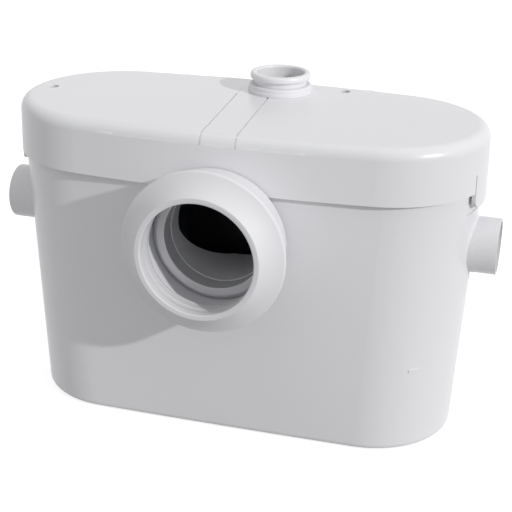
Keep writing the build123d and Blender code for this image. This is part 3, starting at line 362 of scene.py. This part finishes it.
same_point = 0.0001 * mm
ring_steps = 288
section_steps = 96
strands = 30
strand_climb = 4
strand_depth_share = 0.09
laces = 18
lace_width_share = 0.10
lace_depth_share = 0.05
section_power = 0.62
winding_length = 11 * mm
winding_inner = 25 * mm
winding_low, winding_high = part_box("stator_windings")
motor_y = (winding_low.y + winding_high.y) / 2
motor_z = (winding_low.z + winding_high.z) / 2
winding_outer = (winding_high.z - winding_low.z) / 2
winding_far_x = winding_high.x - winding_length
windings = surface(
    "laced_windings",
    laced_ring(winding_low.x, winding_length, winding_inner, winding_outer, motor_y, motor_z),
    laced_ring(winding_far_x, winding_length, winding_inner, winding_outer, motor_y, motor_z),
)
copper_winding_grain = 0.01 * mm
copper_winding = finish(
    "enamelled copper",
    metal,
    {
        "Colour": (0.56, 0.20, 0.075, 1),
        "Stain": (0.34, 0.11, 0.045, 1),
        "Drift": 0.60,
        "Level": 0.30,
        "Spread": 0.16,
        "Patch": 90.0,
        "Along": 500.0,
        "Across": 500.0,
        "Round": 500.0,
        "Pits": 0.2,
    },
    depth=copper_winding_grain,
    shader={"Metallic": 0.85, "Coat Weight": 0.4, "Coat Roughness": 0.2},
)
windings.data.materials.append(copper_winding)
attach(windings, "housing")
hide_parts("stator_windings")


def falling(tree, value, start, end):
    """One up to the start, then evenly down to nought at the end."""
    steps = {"Value": value, "From Min": start, "From Max": end, "To Min": 1.0, "To Max": 0.0}
    return put(tree, "MapRange", steps).outputs[0]


def recolour(material, mask, colour):
    """Mixes a colour over a finish's own by a mask."""
    tree = material.node_tree
    base = tree.nodes["Principled BSDF"].inputs["Base Color"]
    own = base.links[0].from_socket
    tree.links.new(blend(tree, mask, own, colour), base)


def laminated(name, colour, gap, sheet):
    """Stacked sheet steel: bands across X, one per sheet, darken the joint between sheets. A
    wave repeats after a tenth of pi over its scale, so the scale is that over a sheet."""
    material = finish(
        name,
        metal,
        {
            "Colour": colour,
            "Stain": gap,
            "Drift": 0.50,
            "Level": 0.42,
            "Spread": 0.15,
            "Patch": 80.0,
            "Along": 60.0,
            "Across": 900.0,
            "Round": 900.0,
            "Pits": 0.3,
        },
        depth=sheet_grain,
        shader={"Metallic": 1.0},
    )
    tree = material.node_tree
    place = put(tree, "TexCoord").outputs["Object"]
    bands = put(tree, "TexWave", {"Vector": place, "Scale": np.pi / 10 / sheet}, bands_direction="X")
    recolour(material, falling(tree, bands.outputs[1], 0, joint_share), gap)
    return material


sheet_thickness = 0.5 * mm
sheet_grain = 0.02 * mm
sheet_colour = (0.36, 0.36, 0.37, 1)
joint_colour = (0.12, 0.12, 0.125, 1)
joint_share = 0.3
lamination_steel = laminated("lamination steel", sheet_colour, joint_colour, sheet_thickness)
grey_paint_grain = 0.05 * mm
grey_paint = finish(
    "grey stoved paint",
    skin,
    {
        "Colour": (0.13, 0.145, 0.155, 1),
        "Shade": (0.165, 0.18, 0.19, 1),
        "Drift": 0.50,
        "Level": 0.34,
        "Spread": 0.10,
        "Patch": 30.0,
        "Grain": 420.0,
        "Marks": 0.08,
    },
    depth=grey_paint_grain,
    shader={"Coat Weight": 0.25, "Coat Roughness": 0.18},
)
bearing_steel_grain = 0.006 * mm
bearing_steel = finish(
    "bearing steel",
    metal,
    {
        "Colour": (0.60, 0.61, 0.62, 1),
        "Stain": (0.46, 0.46, 0.46, 1),
        "Drift": 0.35,
        "Level": 0.15,
        "Spread": 0.10,
        "Patch": 60.0,
        "Along": 3200.0,
        "Across": 120.0,
        "Round": 120.0,
        "Pits": 0.1,
    },
    depth=bearing_steel_grain,
    shader={"Metallic": 1.0},
)
dress(grey_paint, "motor_can")
dress(lamination_steel, "stator_core", "rotor_core")
dress(bearing_steel, "shaft_bearings")
dress(stainless, "motor_shaft")
dress(black_rubber, "shaft_seal")

# Pump: a grey volute with its bolted-on plate, a black moulded impeller, and two zinc-plated
# nuts that lock the impeller and the cutter on the shaft.

zinc_steel_grain = 0.015 * mm
zinc_steel = finish(
    "zinc plated steel",
    metal,
    {
        "Colour": (0.60, 0.61, 0.62, 1),
        "Stain": (0.40, 0.41, 0.40, 1),
        "Drift": 0.65,
        "Level": 0.34,
        "Spread": 0.18,
        "Patch": 170.0,
        "Along": 900.0,
        "Across": 900.0,
        "Round": 900.0,
        "Pits": 0.5,
    },
    depth=zinc_steel_grain,
    shader={"Metallic": 1.0},
)
dress(grey_moulding, "pump_volute", "volute_plate")
dress(black_moulding, "impeller")
dress(zinc_steel, "shaft_nuts")

# Riser: a bent grey pipe from the volute to the discharge spigot, joined by a rubber sleeve
# under two worm-drive clamps.

dress(grey_moulding, "riser_pipe")
dress(black_rubber, "riser_sleeve")
dress(zinc_steel, "hose_clamps")

# Inlet: the white spout that the pan collar empties into is a barrel with a flange on the
# tank's neck, with a recess behind its flat lip whose colour is darkened as painted shade. Its
# lower left is mitred so that the flow turns into the basket, and the black hood round its end guides
# it down.


def rounded(corners, radii, steps, ease):
    """Closed outline with rounded corners. With unit directions a and b from a corner to its
    neighbours, and half the angle between them h, the arc's centre lies r / sin(h) along a + b,
    and the arc swings a quarter turn less h to each side of the line back to the corner. One
    more point beyond each end of the arc, at most a quarter of the free straight away, keeps
    the flat flat when it is shaded."""
    corners = np.asarray(corners, float)
    radii = np.asarray(radii, float)[:, None]
    back = np.roll(corners, 1, axis=0) - corners
    onward = np.roll(corners, -1, axis=0) - corners
    length = np.linalg.norm(onward, axis=1, keepdims=True)
    a = back / np.linalg.norm(back, axis=1, keepdims=True)
    b = onward / length
    half = np.arccos(np.clip((a * b).sum(axis=1, keepdims=True), -1, 1)) / 2
    middle = (a + b) / np.linalg.norm(a + b, axis=1, keepdims=True)
    side = (b - a) / np.linalg.norm(b - a, axis=1, keepdims=True)
    tangent = radii / np.tan(half)
    centre = corners + middle * radii / np.sin(half)
    swing = np.linspace(-1, 1, steps)[None, :, None] * (np.pi / 2 - half)[:, None]
    way = side[:, None] * np.sin(swing) - middle[:, None] * np.cos(swing)
    arc = centre[:, None] + radii[:, None] * way
    free = length - tangent - np.roll(tangent, -1, axis=0)
    gap_on = np.clip(free / 4, 0, ease)
    gap_back = np.roll(gap_on, 1, axis=0)
    lead_in = (corners + a * (tangent + gap_back))[:, None]
    lead_out = (corners + b * (tangent + gap_on))[:, None]
    return np.concatenate((lead_in, arc, lead_out), axis=1).reshape(-1, 2)


def turned(outline, centre, axis, steps):
    """Grid of an outline, given as distance along the axis and radius, carried round the axis:
    the two other coordinates are the radius times the cosine and the sine of the turn."""
    turn = np.linspace(0, 2 * np.pi, steps, endpoint=False)[None, :]
    along, radius = outline.T[:, :, None]
    grid = np.empty((len(outline), steps, 3))
    grid[..., axis] = along
    grid[..., (axis + 1) % 3] = centre[(axis + 1) % 3] + radius * np.cos(turn)
    grid[..., (axis + 2) % 3] = centre[(axis + 2) % 3] + radius * np.sin(turn)
    return grid


spout_low, spout_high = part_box("inlet_spout")
pan_centre = (spout_low + spout_high) / 2
spout_lip_y = spout_low.y
spout_floor_y = spout_high.y
flange_radius = (spout_high.x - spout_low.x) / 2
spout_bore = 41.5 * mm
spout_radius = 44.5 * mm
spout_mouth = 42.0 * mm
spout_lip_radius = 48.0 * mm
mouth_back = 1.5 * mm
recess_radius = 42.1 * mm
step_round = 0.4 * mm
recess_back = 16.5 * mm
mitre_margin = 1.0 * mm
shortest_barrel = 34.0 * mm
flange_front = 4.0 * mm
flange_back = 5.6 * mm
spout_side = 36.6 * mm
spout_steps = 160
spout_corners = (
    (spout_lip_y, spout_mouth),
    (spout_lip_y, spout_lip_radius),
    (spout_lip_y + flange_front, flange_radius),
    (spout_lip_y + flange_back, flange_radius),
    (spout_lip_y + flange_back, spout_radius),
    (spout_floor_y, spout_radius),
    (spout_floor_y, spout_bore),
    (spout_lip_y + recess_back, spout_bore),
    (spout_lip_y + recess_back, recess_radius),
    (spout_lip_y + mouth_back, recess_radius),
    (spout_lip_y + mouth_back, spout_mouth),
)
spout_radii_mm = (0.4, 0.4, 0.4, 0.3, 0.3, 0.6, 0.6, 0.3, 0.2, 0.04, 0.05)
spout_arc_steps = 5
spout_ease = 1.5 * mm
spout_radii = np.array(spout_radii_mm) * mm
spout_outline = rounded(spout_corners, spout_radii, spout_arc_steps, spout_ease)
barrel = turned(spout_outline, pan_centre, 1, spout_steps)


def mitre(across, height):
    """How far back the barrel reaches at a point of its wall: the nearer of two planes, but
    nowhere nearer than the shortest barrel. One plane slants from the floor's end up through
    the sides; the other cuts the lower left across. The first is a start less a slope times
    height, the second a start plus one slope times across and another times height."""
    side_y = spout_lip_y + spout_side
    slant = side_y - (spout_floor_y - side_y) * height / spout_bore
    skew = spout_lip_y + skew_reach + skew_across_slope * across + skew_height_slope * height
    return np.maximum(np.minimum(slant, skew), spout_lip_y + shortest_barrel)


skew_reach = 64.5 * mm
skew_across_slope = 0.816
skew_height_slope = -0.336
barrel_start = spout_lip_y + recess_back + mitre_margin
share = np.clip((barrel[..., 1] - barrel_start) / (spout_floor_y - barrel_start), 0, 1)
reach = mitre(barrel[..., 0] - pan_centre.x, barrel[..., 2] - pan_centre.z)
barrel[..., 1] += share * (reach - spout_floor_y)
spout = surface("mitred_inlet_spout", barrel)


def coordinates(tree):
    """X, Y and Z of a point on the object."""
    place = put(tree, "TexCoord").outputs["Object"]
    return put(tree, "SeparateXYZ", {0: place}).outputs


def paint_shade_band(material, name, shade, low, high):
    """A copy of a finish whose colour turns to a painted shade between two distances along Y."""
    copy = material.copy()
    copy.name = name
    tree = copy.node_tree
    y = coordinates(tree)[1]
    after = maths(tree, "GREATER_THAN", y, low)
    before = maths(tree, "LESS_THAN", y, high)
    recolour(copy, maths(tree, "MULTIPLY", after, before), shade)
    return copy


# Painted shade: the recess behind the lip is coloured darker to stand in for the shade that falls
# inside it.
painted_recess_shade = (0.62, 0.62, 0.64, 1)
recess_start_y = spout_lip_y + mouth_back
recess_end_y = spout_lip_y + recess_back + step_round
recess_name = "white moulding with painted shade in the recess"
white_with_painted_recess_shade = paint_shade_band(white_moulding, recess_name, painted_recess_shade, recess_start_y, recess_end_y)
spout.data.materials.append(white_with_painted_recess_shade)
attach(spout, "housing")
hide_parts("inlet_spout")
dress(black_moulding, "inlet_hood")

# Side waste spigots: white spigots welded through both end walls, each with a rubber
# non-return flap that hangs from a steel pin inside the tank. A smooth flare blends the
# spigot into the rounded end wall.


def end_wall(across, height):
    """How far out the tank's end wall lies. Its plan is a circle, whose radius and whose
    furthest point both grow evenly from the foot to the top:
    x = furthest - radius + square root of (radius squared - across squared)."""
    rise = (height - foot_z) / (body_z - foot_z)
    radius = foot_end_radius + rise * (body_end_radius - foot_end_radius)
    furthest = foot_half_length + rise * (body_half_length - foot_half_length)
    return furthest - radius + np.sqrt(radius**2 - across**2)


def flare(side, centre, radius):
    """A hollow quarter ellipse between the wall and the spigot, carried round the spigot:
    distance from the spigot = reach times (1 less the sine of the bend)
    height over the wall = lift less (lift plus bed) times the cosine of the bend.
    So its edge starts a hair under the wall. A return just under both skins closes it."""
    bend = np.linspace(0, np.pi / 2, flare_rows)
    outward = flare_reach * (1 - np.sin(bend))
    outward = np.concatenate((outward, (-flare_sunk, -flare_sunk, flare_reach)))
    rise = flare_lift - (flare_lift + flare_bed) * np.cos(bend)
    lift = np.concatenate((rise, (flare_lift, -flare_sunk, -flare_sunk)))
    turn = np.linspace(0, 2 * np.pi, flare_steps, endpoint=False)[None, :]
    ring = radius + outward[:, None]
    across = ring * np.cos(turn)
    height = centre.z + ring * np.sin(turn)
    out = end_wall(across, height) + lift[:, None]
    return np.stack((side * out, across, height), axis=-1)


foot_z = 1.5 * mm
body_z = 224.6 * mm
foot_half_length = 187.4 * mm
foot_end_radius = 72.0 * mm
body_half_length = 198.4 * mm
body_end_radius = 80.0 * mm
flare_reach = 9.0 * mm
flare_lift = 1.4 * mm
flare_bed = 0.15 * mm
flare_sunk = 0.6 * mm
flare_rows = 11
flare_steps = 128
waste_radius = 23.58 * mm
waste_height = 171.9 * mm
waste_low, waste_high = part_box("side_spigot_right")
waste_centre = (waste_low + waste_high) / 2
waste_centre.z = waste_height
flares = surface(
    "waste_spigot_flares",
    flare(-1, waste_centre, waste_radius),
    flare(1, waste_centre, waste_radius),
)
flares.data.materials.append(white_moulding)
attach(flares, "housing")
dress(white_moulding, "side_spigot_left", "side_spigot_right")
dress(black_rubber, "inlet_flap_left", "inlet_flap_right")
dress(stainless, "inlet_flap_pins")

# Level switch: water traps air in the grey tube, the rubber membrane lifts the white
# plunger against its wound steel spring, and the plunger works the black switch.


def coil(centre, low, high, ring, wire):
    """A round wire wound about the Z axis. Its height rises by one wire over the first and the
    last turn, which close the spring's ends, and evenly over the turns between. The section
    stands upright, since the wire climbs little, and shrinks to a point at both ends."""
    turns = np.linspace(0, coil_turns, coil_rows)[:, None]
    climb = high - low - 2 * wire
    steps = (0, 2 * wire, climb - 2 * wire, climb)
    middle = low + wire + np.interp(turns, (0, 1, coil_turns - 1, coil_turns), steps)
    size = np.full(turns.shape, wire * wire_fill_share)
    size[[0, -1]] = 0
    round_wire = np.linspace(0, 2 * np.pi, wire_steps, endpoint=False)[None, :]
    reach = ring + size * np.cos(round_wire)
    lap = 2 * np.pi * turns
    height = middle + size * np.sin(round_wire)
    return np.stack((centre.x + reach * np.cos(lap), centre.y + reach * np.sin(lap), height), axis=-1)


coil_turns = 5
coil_rows = 361
wire_fill_share = 0.97
wire_steps = 16
wire_radius = 0.45 * mm
spring_low, spring_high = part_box("plunger_spring")
spring_centre = (spring_low + spring_high) / 2
spring_ring = (spring_high.x - spring_low.x) / 2 - wire_radius
spring = surface(
    "wound_plunger_spring",
    coil(spring_centre, spring_low.z, spring_high.z, spring_ring, wire_radius),
    poles=True,
)
spring.data.materials.append(stainless)
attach(spring, "housing")
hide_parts("plunger_spring")
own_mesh(spring)
dress(grey_moulding, "pressure_tube", "level_housing")
dress(black_rubber, "level_membrane")
dress(white_moulding, "level_plunger")
dress(black_moulding, "micro_switch")

# Inner cover: a flat grey plate that closes the wet tank, on a rubber gasket all round the
# rim. It carries the control box, the capacitor in its clip, and the vent filter.

capacitor_can_grain = 0.01 * mm
capacitor_can = finish(
    "aluminium can",
    metal,
    {
        "Colour": (0.66, 0.665, 0.67, 1),
        "Stain": (0.52, 0.52, 0.53, 1),
        "Drift": 0.40,
        "Level": 0.30,
        "Spread": 0.16,
        "Patch": 50.0,
        "Along": 50.0,
        "Across": 2200.0,
        "Round": 2200.0,
        "Pits": 0.1,
    },
    depth=capacitor_can_grain,
    shader={"Metallic": 1.0},
)
dress(black_rubber, "lid_gasket")
dress(grey_moulding, "inner_cover", "control_box")
dress(capacitor_can, "capacitor")
dress(zinc_steel, "capacitor_clip")
dress(black_moulding, "vent_filter")

# Discharge spigot: a white pipe with a rolled lip, up through the lid, with a rubber flap on
# a steel pin at its foot.

pipe_low, pipe_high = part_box("discharge_spigot")
pipe_centre = (pipe_low + pipe_high) / 2
nipple_length = 10 * mm
nipple_radius = 17 * mm
seat_bore = 12.5 * mm
seat_thickness = 4.0 * mm
chamber_radius = 21.3 * mm
chamber_height = 17 * mm
pipe_bore = 20.9 * mm
pipe_radius = 23.0 * mm
lip_height = 5.8 * mm
pipe_lip_radius = 26.5 * mm
pipe_steps = 128
pipe_foot = pipe_low.z + nipple_length
pipe_seat = pipe_foot + seat_thickness
pipe_top = pipe_high.z
pipe_corners = (
    (pipe_low.z, seat_bore),
    (pipe_low.z, nipple_radius),
    (pipe_foot, nipple_radius),
    (pipe_foot, pipe_radius),
    (pipe_top - lip_height, pipe_radius),
    (pipe_top - lip_height, pipe_lip_radius),
    (pipe_top, pipe_lip_radius),
    (pipe_top, pipe_bore),
    (pipe_seat + chamber_height, pipe_bore),
    (pipe_seat + chamber_height, chamber_radius),
    (pipe_seat, chamber_radius),
    (pipe_seat, seat_bore),
)
pipe_radii_mm = (0.5, 0.8, 0.5, 0.8, 0.9, 2.0, 2.5, 1.8, 0.15, 0.15, 0.4, 0.5)
pipe_arc_steps = 7
pipe_ease = 0.6 * mm
pipe_radii = np.array(pipe_radii_mm) * mm
pipe_outline = rounded(pipe_corners, pipe_radii, pipe_arc_steps, pipe_ease)
pipe = surface("rolled_lip_spigot", turned(pipe_outline, pipe_centre, 2, pipe_steps))
pipe.data.materials.append(white_moulding)
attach(pipe, "housing")
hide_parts("discharge_spigot")
dress(black_rubber, "discharge_flap")
dress(stainless, "discharge_flap_pin")

# Lid: a white moulding with a rounded shoulder and a skirt that drops over the rim. Two
# tongues snap over the tank's ends, and two thin grooves cross the top and its front shoulder.


def paint_groove_light_and_shade(material):
    """Paints light and shade along the lid's grooves on a copy of a finish. Both lean the same way:
    the distance from a line is x + slope y less the line's place, and the mask falls from one at half
    the width to nought at the full width. In the cut groove a lighter colour is painted light that
    offsets the shade its depth casts.
    Its shallow end beside the spigot and its shallow spot on the shoulder get a darker one, which is
    painted shade."""
    copy = material.copy()
    copy.name = "white moulding with painted groove light and shade"
    tree = copy.node_tree
    x, y, z = coordinates(tree)
    slope = groove_lean / (groove_back - lid_low.y)
    leaning = maths(tree, "MULTIPLY_ADD", y, slope, x)
    masks = []
    for place in groove_places:
        line = place + groove_lean / 2 + slope * lid_low.y
        off = maths(tree, "ABSOLUTE", maths(tree, "SUBTRACT", leaning, line))
        masks.append(falling(tree, off, groove_half, groove_soft))
    above = maths(tree, "GREATER_THAN", z, lid_high.z - shoulder)
    ahead = maths(tree, "LESS_THAN", y, groove_end)
    mask = maths(tree, "MULTIPLY", maths(tree, "MAXIMUM", *masks), above)
    mask = maths(tree, "MULTIPLY", mask, ahead)
    far = maths(tree, "GREATER_THAN", y, groove_back)
    spot = maths(tree, "COMPARE", y, lid_low.y + shallow_spot, shallow_half)
    painted_shade_share = maths(tree, "MAXIMUM", far, spot)
    recolour(copy, mask, blend(tree, painted_shade_share, painted_groove_light, painted_groove_shade))
    return copy


lid_low, lid_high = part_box("lid")
groove_places = (-17.6 * mm, 11.4 * mm)
groove_lean = 7 * mm
groove_back = 32 * mm
groove_end = 52 * mm
groove_half = 0.35 * mm
groove_soft = 0.75 * mm
shallow_spot = 6.2 * mm
shallow_half = 1.3 * mm
painted_groove_light = (0.90, 0.90, 0.915, 1)
painted_groove_shade = (0.66, 0.66, 0.68, 1)
shoulder = 10.5 * mm
# The grooves' colour is painted light and shade: lighter in the cut, and darker as painted shade past
# its end and on the shoulder.
dress(paint_groove_light_and_shade(white_moulding), "lid")

# Lid screws: two zinc-plated steel screws with a cross in the head. They sit sunk in wells in
# the lid and hold it down.


def cross_head(x, y, seat, top, foot):
    """A screw about the Z axis, as rings from the middle of its head down to its tip. The head's
    face is a low dome less the cross, whose depth is multiplied by two shares: how far inside
    the arms' ends and how far inside their edges a point lies, each over the soft width and
    kept between nought and one."""
    face = np.linspace(0, head_radius - head_chamfer, face_rings)
    radius = np.concatenate((face, (head_radius, head_radius, shank_radius, shank_radius, 0)))
    level = top - dome * (face / head_radius) ** 2
    side = (top - dome - head_chamfer, seat, seat, foot, foot)
    level = np.concatenate((level, side))
    turn = np.linspace(0, 2 * np.pi, head_steps, endpoint=False)[None, :]
    across = radius[:, None] * np.cos(turn)
    along = radius[:, None] * np.sin(turn)
    long_way = np.maximum(np.abs(across), np.abs(along))
    short_way = np.minimum(np.abs(across), np.abs(along))
    ends = np.clip((arm_reach - long_way) / arm_soft, 0, 1)
    edges = np.clip((arm_half - short_way) / arm_soft, 0, 1)
    on_face = np.arange(len(radius))[:, None] < face_rings
    height = level[:, None] - arm_depth * ends * edges * on_face
    return np.stack((x + across, y + along, height), axis=-1)


face_rings = 36
head_steps = 96
head_radius = 4.2 * mm
head_height = 2.6 * mm
head_chamfer = 0.5 * mm
shank_radius = 1.9 * mm
dome = 0.3 * mm
arm_reach = 2.5 * mm
arm_half = 0.55 * mm
arm_soft = 0.16 * mm
arm_depth = 1.5 * mm
screw_low, screw_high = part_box("lid_screws")
screw_foot = screw_low.z
screw_top = screw_high.z
screw_seat = screw_top - head_height
left_x = screw_low.x + head_radius
right_x = screw_high.x - head_radius
left_y = screw_low.y + head_radius
right_y = screw_high.y - head_radius
screws = surface(
    "cross_head_screws",
    cross_head(left_x, left_y, screw_seat, screw_top, screw_foot),
    cross_head(right_x, right_y, screw_seat, screw_top, screw_foot),
    poles=True,
)
screws.data.materials.append(zinc_steel)
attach(screws, "housing")
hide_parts("lid_screws")

# Grommet: a stepped ring moulded in white rubber and pulled over the discharge spigot. It
# seals the spigot in the lid.

white_rubber_grain = 0.02 * mm
white_rubber = finish(
    "white rubber",
    skin,
    {
        "Colour": (0.78, 0.78, 0.80, 1),
        "Shade": (0.71, 0.71, 0.74, 1),
        "Drift": 0.35,
        "Level": 0.56,
        "Spread": 0.12,
        "Patch": 22.0,
        "Grain": 1100.0,
        "Marks": 0.04,
    },
    depth=white_rubber_grain,
    shader={"IOR": 1.48, "Specular IOR Level": 0.45},
)
seal_low, seal_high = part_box("discharge_grommet")
seal_centre = (seal_low + seal_high) / 2
seal_radius = (seal_high.x - seal_low.x) / 2
seal_step = 1.0 * mm
seal_lower = 3.2 * mm
seal_corners = (
    (seal_low.z, pipe_radius),
    (seal_low.z, seal_radius),
    (seal_low.z + seal_lower, seal_radius),
    (seal_low.z + seal_lower, seal_radius - seal_step),
    (seal_high.z, seal_radius - seal_step),
    (seal_high.z, pipe_radius),
)
seal_radii_mm = (0.1, 0.3, 0.65, 0.3, 1.6, 0.6)
seal_arc_steps = 6
seal_ease = 0.4 * mm
seal_radii = np.array(seal_radii_mm) * mm
seal_outline = rounded(seal_corners, seal_radii, seal_arc_steps, seal_ease)
seal = surface("stepped_grommet", turned(seal_outline, seal_centre, 2, pipe_steps))
seal.data.materials.append(white_rubber)
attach(seal, "housing")
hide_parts("discharge_grommet")

# Pan collar: a moulded white rubber collar, stretched over the tank's neck. Its narrow lip
# and ribbed bore grip the pan's outlet, and a cone flares back to the wide rim.


def arc_through(start, middle, end, count):
    """Points on the circle through three points. Its centre is where the perpendicular
    bisectors of start to middle and of middle to end cross; the angle runs evenly."""
    start, middle, end = (np.asarray(point, float) for point in (start, middle, end))
    sides = np.stack((middle - start, end - middle))
    halfway = np.stack((start + middle, middle + end)) / 2
    centre = np.linalg.solve(sides, (sides * halfway).sum(axis=1))
    first, last = (np.arctan2(*(point - centre)[::-1]) for point in (start, end))
    angle = np.linspace(first, last, count)
    radius = np.linalg.norm(start - centre)
    return centre + radius * np.stack((np.cos(angle), np.sin(angle)), axis=-1)


def ribbed(start, length, bore):
    """Points along the bore, from its deep end toward its mouth. The radius is the bore less
    the ribs' height times the cosine of one turn for each rib."""
    share = np.linspace(0, 1, rib_points)
    radius = bore - rib_height * np.cos(2 * np.pi * rib_count * share)
    return np.stack((start - length * share, radius), axis=-1)


collar_low, collar_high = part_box("pan_collar")
collar_centre = (collar_low + collar_high) / 2
rim_radius = (collar_high.x - collar_low.x) / 2
lip_y = collar_low.y
sleeve_back_y = collar_high.y
lip_bore = 45.8 * mm
lip_radius = 50.3 * mm
cone_back = 14.6 * mm
cone_radius = 66.4 * mm
cone_hollow = 0.9 * mm
cone_sweep = 9
rim_back = 16.6 * mm
band_back = 47.6 * mm
band_radius = 59.4 * mm
sleeve_radius = 56.6 * mm
neck_bore = 53.2 * mm
bore_depth = 22.9 * mm
rib_bore = 46.8 * mm
rib_height = 0.16 * mm
rib_length = 16.0 * mm
rib_count = 2
rib_points = 25
soft = 0.5 * mm
lip_edge = 0.7 * mm
cone_edge = 0.3 * mm
rim_edge = 0.8 * mm
rib_edge = 0.2 * mm
mouth_edge = 1.1 * mm
collar_arc_steps = 4
collar_steps = 176
cone = arc_through(
    (lip_y, lip_radius),
    (lip_y + cone_back / 2 + cone_hollow, (lip_radius + cone_radius) / 2 - cone_hollow),
    (lip_y + cone_back, cone_radius),
    cone_sweep,
)
outside = [
    (lip_y + rim_back, rim_radius),
    (lip_y + band_back, band_radius),
    (lip_y + band_back, sleeve_radius),
    (sleeve_back_y, sleeve_radius),
    (sleeve_back_y, neck_bore),
    (lip_y + bore_depth, neck_bore),
]
ribs = ribbed(lip_y + bore_depth, rib_length, rib_bore)
mouth = [(lip_y + bore_depth - rib_length - soft, lip_bore), (lip_y, lip_bore)]
collar_corners = np.concatenate((cone, outside, ribs, mouth))
collar_radii = np.concatenate(
    (
        (lip_edge,),
        np.full(cone_sweep - 2, soft),
        (cone_edge, soft, rim_edge, soft, soft, soft, soft),
        np.full(rib_points, rib_edge),
        (soft / 2, mouth_edge),
    )
)
collar_outline = rounded(collar_corners, collar_radii, collar_arc_steps, soft)
collar = surface("pan_collar_rubber", turned(collar_outline, collar_centre, 1, collar_steps))
collar.data.materials.append(white_rubber)
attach(collar, "housing")
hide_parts("pan_collar")

# Cable gland: a white moulded boss at the back of the lid, through which the supply enters
# the dry space over the inner cover.

dress(white_moulding, "cable_gland")

# Studio: a plain pale floor and backdrop, one hard key from the right, and soft light all
# round. The floor lifts to white only where the camera or a reflection sees it.


def seen(tree):
    """One where the camera, a reflection or a see-through ray looks, else nought."""
    path = put(tree, "LightPath").outputs
    either = maths(tree, "MAXIMUM", path["Is Camera Ray"], path["Is Glossy Ray"])
    return maths(tree, "MAXIMUM", either, path["Is Transmission Ray"])


floor_half = 8.0
floor_mesh = bpy.data.meshes.new("floor")
floor_mesh.from_pydata(
    [
        (-floor_half, -floor_half, 0),
        (floor_half, -floor_half, 0),
        (floor_half, floor_half, 0),
        (-floor_half, floor_half, 0),
    ],
    [],
    [(0, 1, 2, 3)],
)
floor = bpy.data.objects.new("floor", floor_mesh)
bpy.context.collection.objects.link(floor)
floor_finish = bpy.data.materials.new("pale floor")
floor_finish.use_nodes = True
floor_tree = floor_finish.node_tree
floor_tree.nodes.clear()
floor_lift = 0.80
floor_colour = (0.42, 0.42, 0.42, 1)
white = (1, 1, 1, 1)
matt = put(floor_tree, "BsdfDiffuse", {"Color": floor_colour}).outputs[0]
lift = maths(floor_tree, "MULTIPLY", seen(floor_tree), floor_lift)
glow = put(floor_tree, "Emission", {"Color": white, "Strength": lift}).outputs[0]
both = put(floor_tree, "AddShader", {0: matt, 1: glow}).outputs[0]
put(floor_tree, "OutputMaterial", {"Surface": both})
floor_mesh.materials.append(floor_finish)

ambient = 0.53
world = bpy.data.worlds.new("studio")
bpy.context.scene.world = world
world.use_nodes = True
world.node_tree.nodes.clear()
sky_steps = {"Value": seen(world.node_tree), "To Min": ambient, "To Max": 1.0}
bright = put(world.node_tree, "MapRange", sky_steps).outputs[0]
sky = put(world.node_tree, "Background", {"Color": white, "Strength": bright}).outputs[0]
put(world.node_tree, "OutputWorld", {"Surface": sky})

key_side = (0.83, -0.38, 0.41)
key_way = Vector(key_side)
key_light = bpy.data.lights.new("key", "SUN")
key_light.energy = 1.68
key_light.angle = 0.03
key = bpy.data.objects.new("key", key_light)
bpy.context.collection.objects.link(key)
key.rotation_euler = key_way.to_track_quat("Z", "Y").to_euler()

overhead_light = bpy.data.lights.new("overhead", "AREA")
overhead_light.shape = "DISK"
overhead_light.size = 1.5
overhead_light.energy = 2.7
overhead = bpy.data.objects.new("overhead", overhead_light)
bpy.context.collection.objects.link(overhead)
overhead_place = (0.15, 0.05, 1.65)
overhead.location = overhead_place

# Camera: set back from the front right, looking down on the lid and into the collar through
# a long lens, with a slight roll.

camera_at = (0.27082, -0.9517, 0.54772)
camera_turns = (15.44, 22.65, 1.18)
camera_place = Vector(camera_at)
yaw, pitch, roll = np.radians(camera_turns)
forward = Vector((-np.sin(yaw) * np.cos(pitch), np.cos(yaw) * np.cos(pitch), -np.sin(pitch)))
level = forward.cross(Vector((0, 0, 1))).normalized()
upward = level.cross(forward)
right = level * np.cos(roll) + upward * np.sin(roll)
above = upward * np.cos(roll) - level * np.sin(roll)
turned_axes = Matrix((right, above, -forward)).transposed().to_4x4()
camera_data = bpy.data.cameras.new("camera")
camera_data.lens = 85.29
camera_data.sensor_width = 36.0
camera_data.sensor_fit = "HORIZONTAL"
camera = bpy.data.objects.new("camera", camera_data)
bpy.context.collection.objects.link(camera)
camera.matrix_world = Matrix.Translation(camera_place) @ turned_axes
bpy.context.scene.camera = camera
bpy.context.scene.view_settings.view_transform = "Standard"
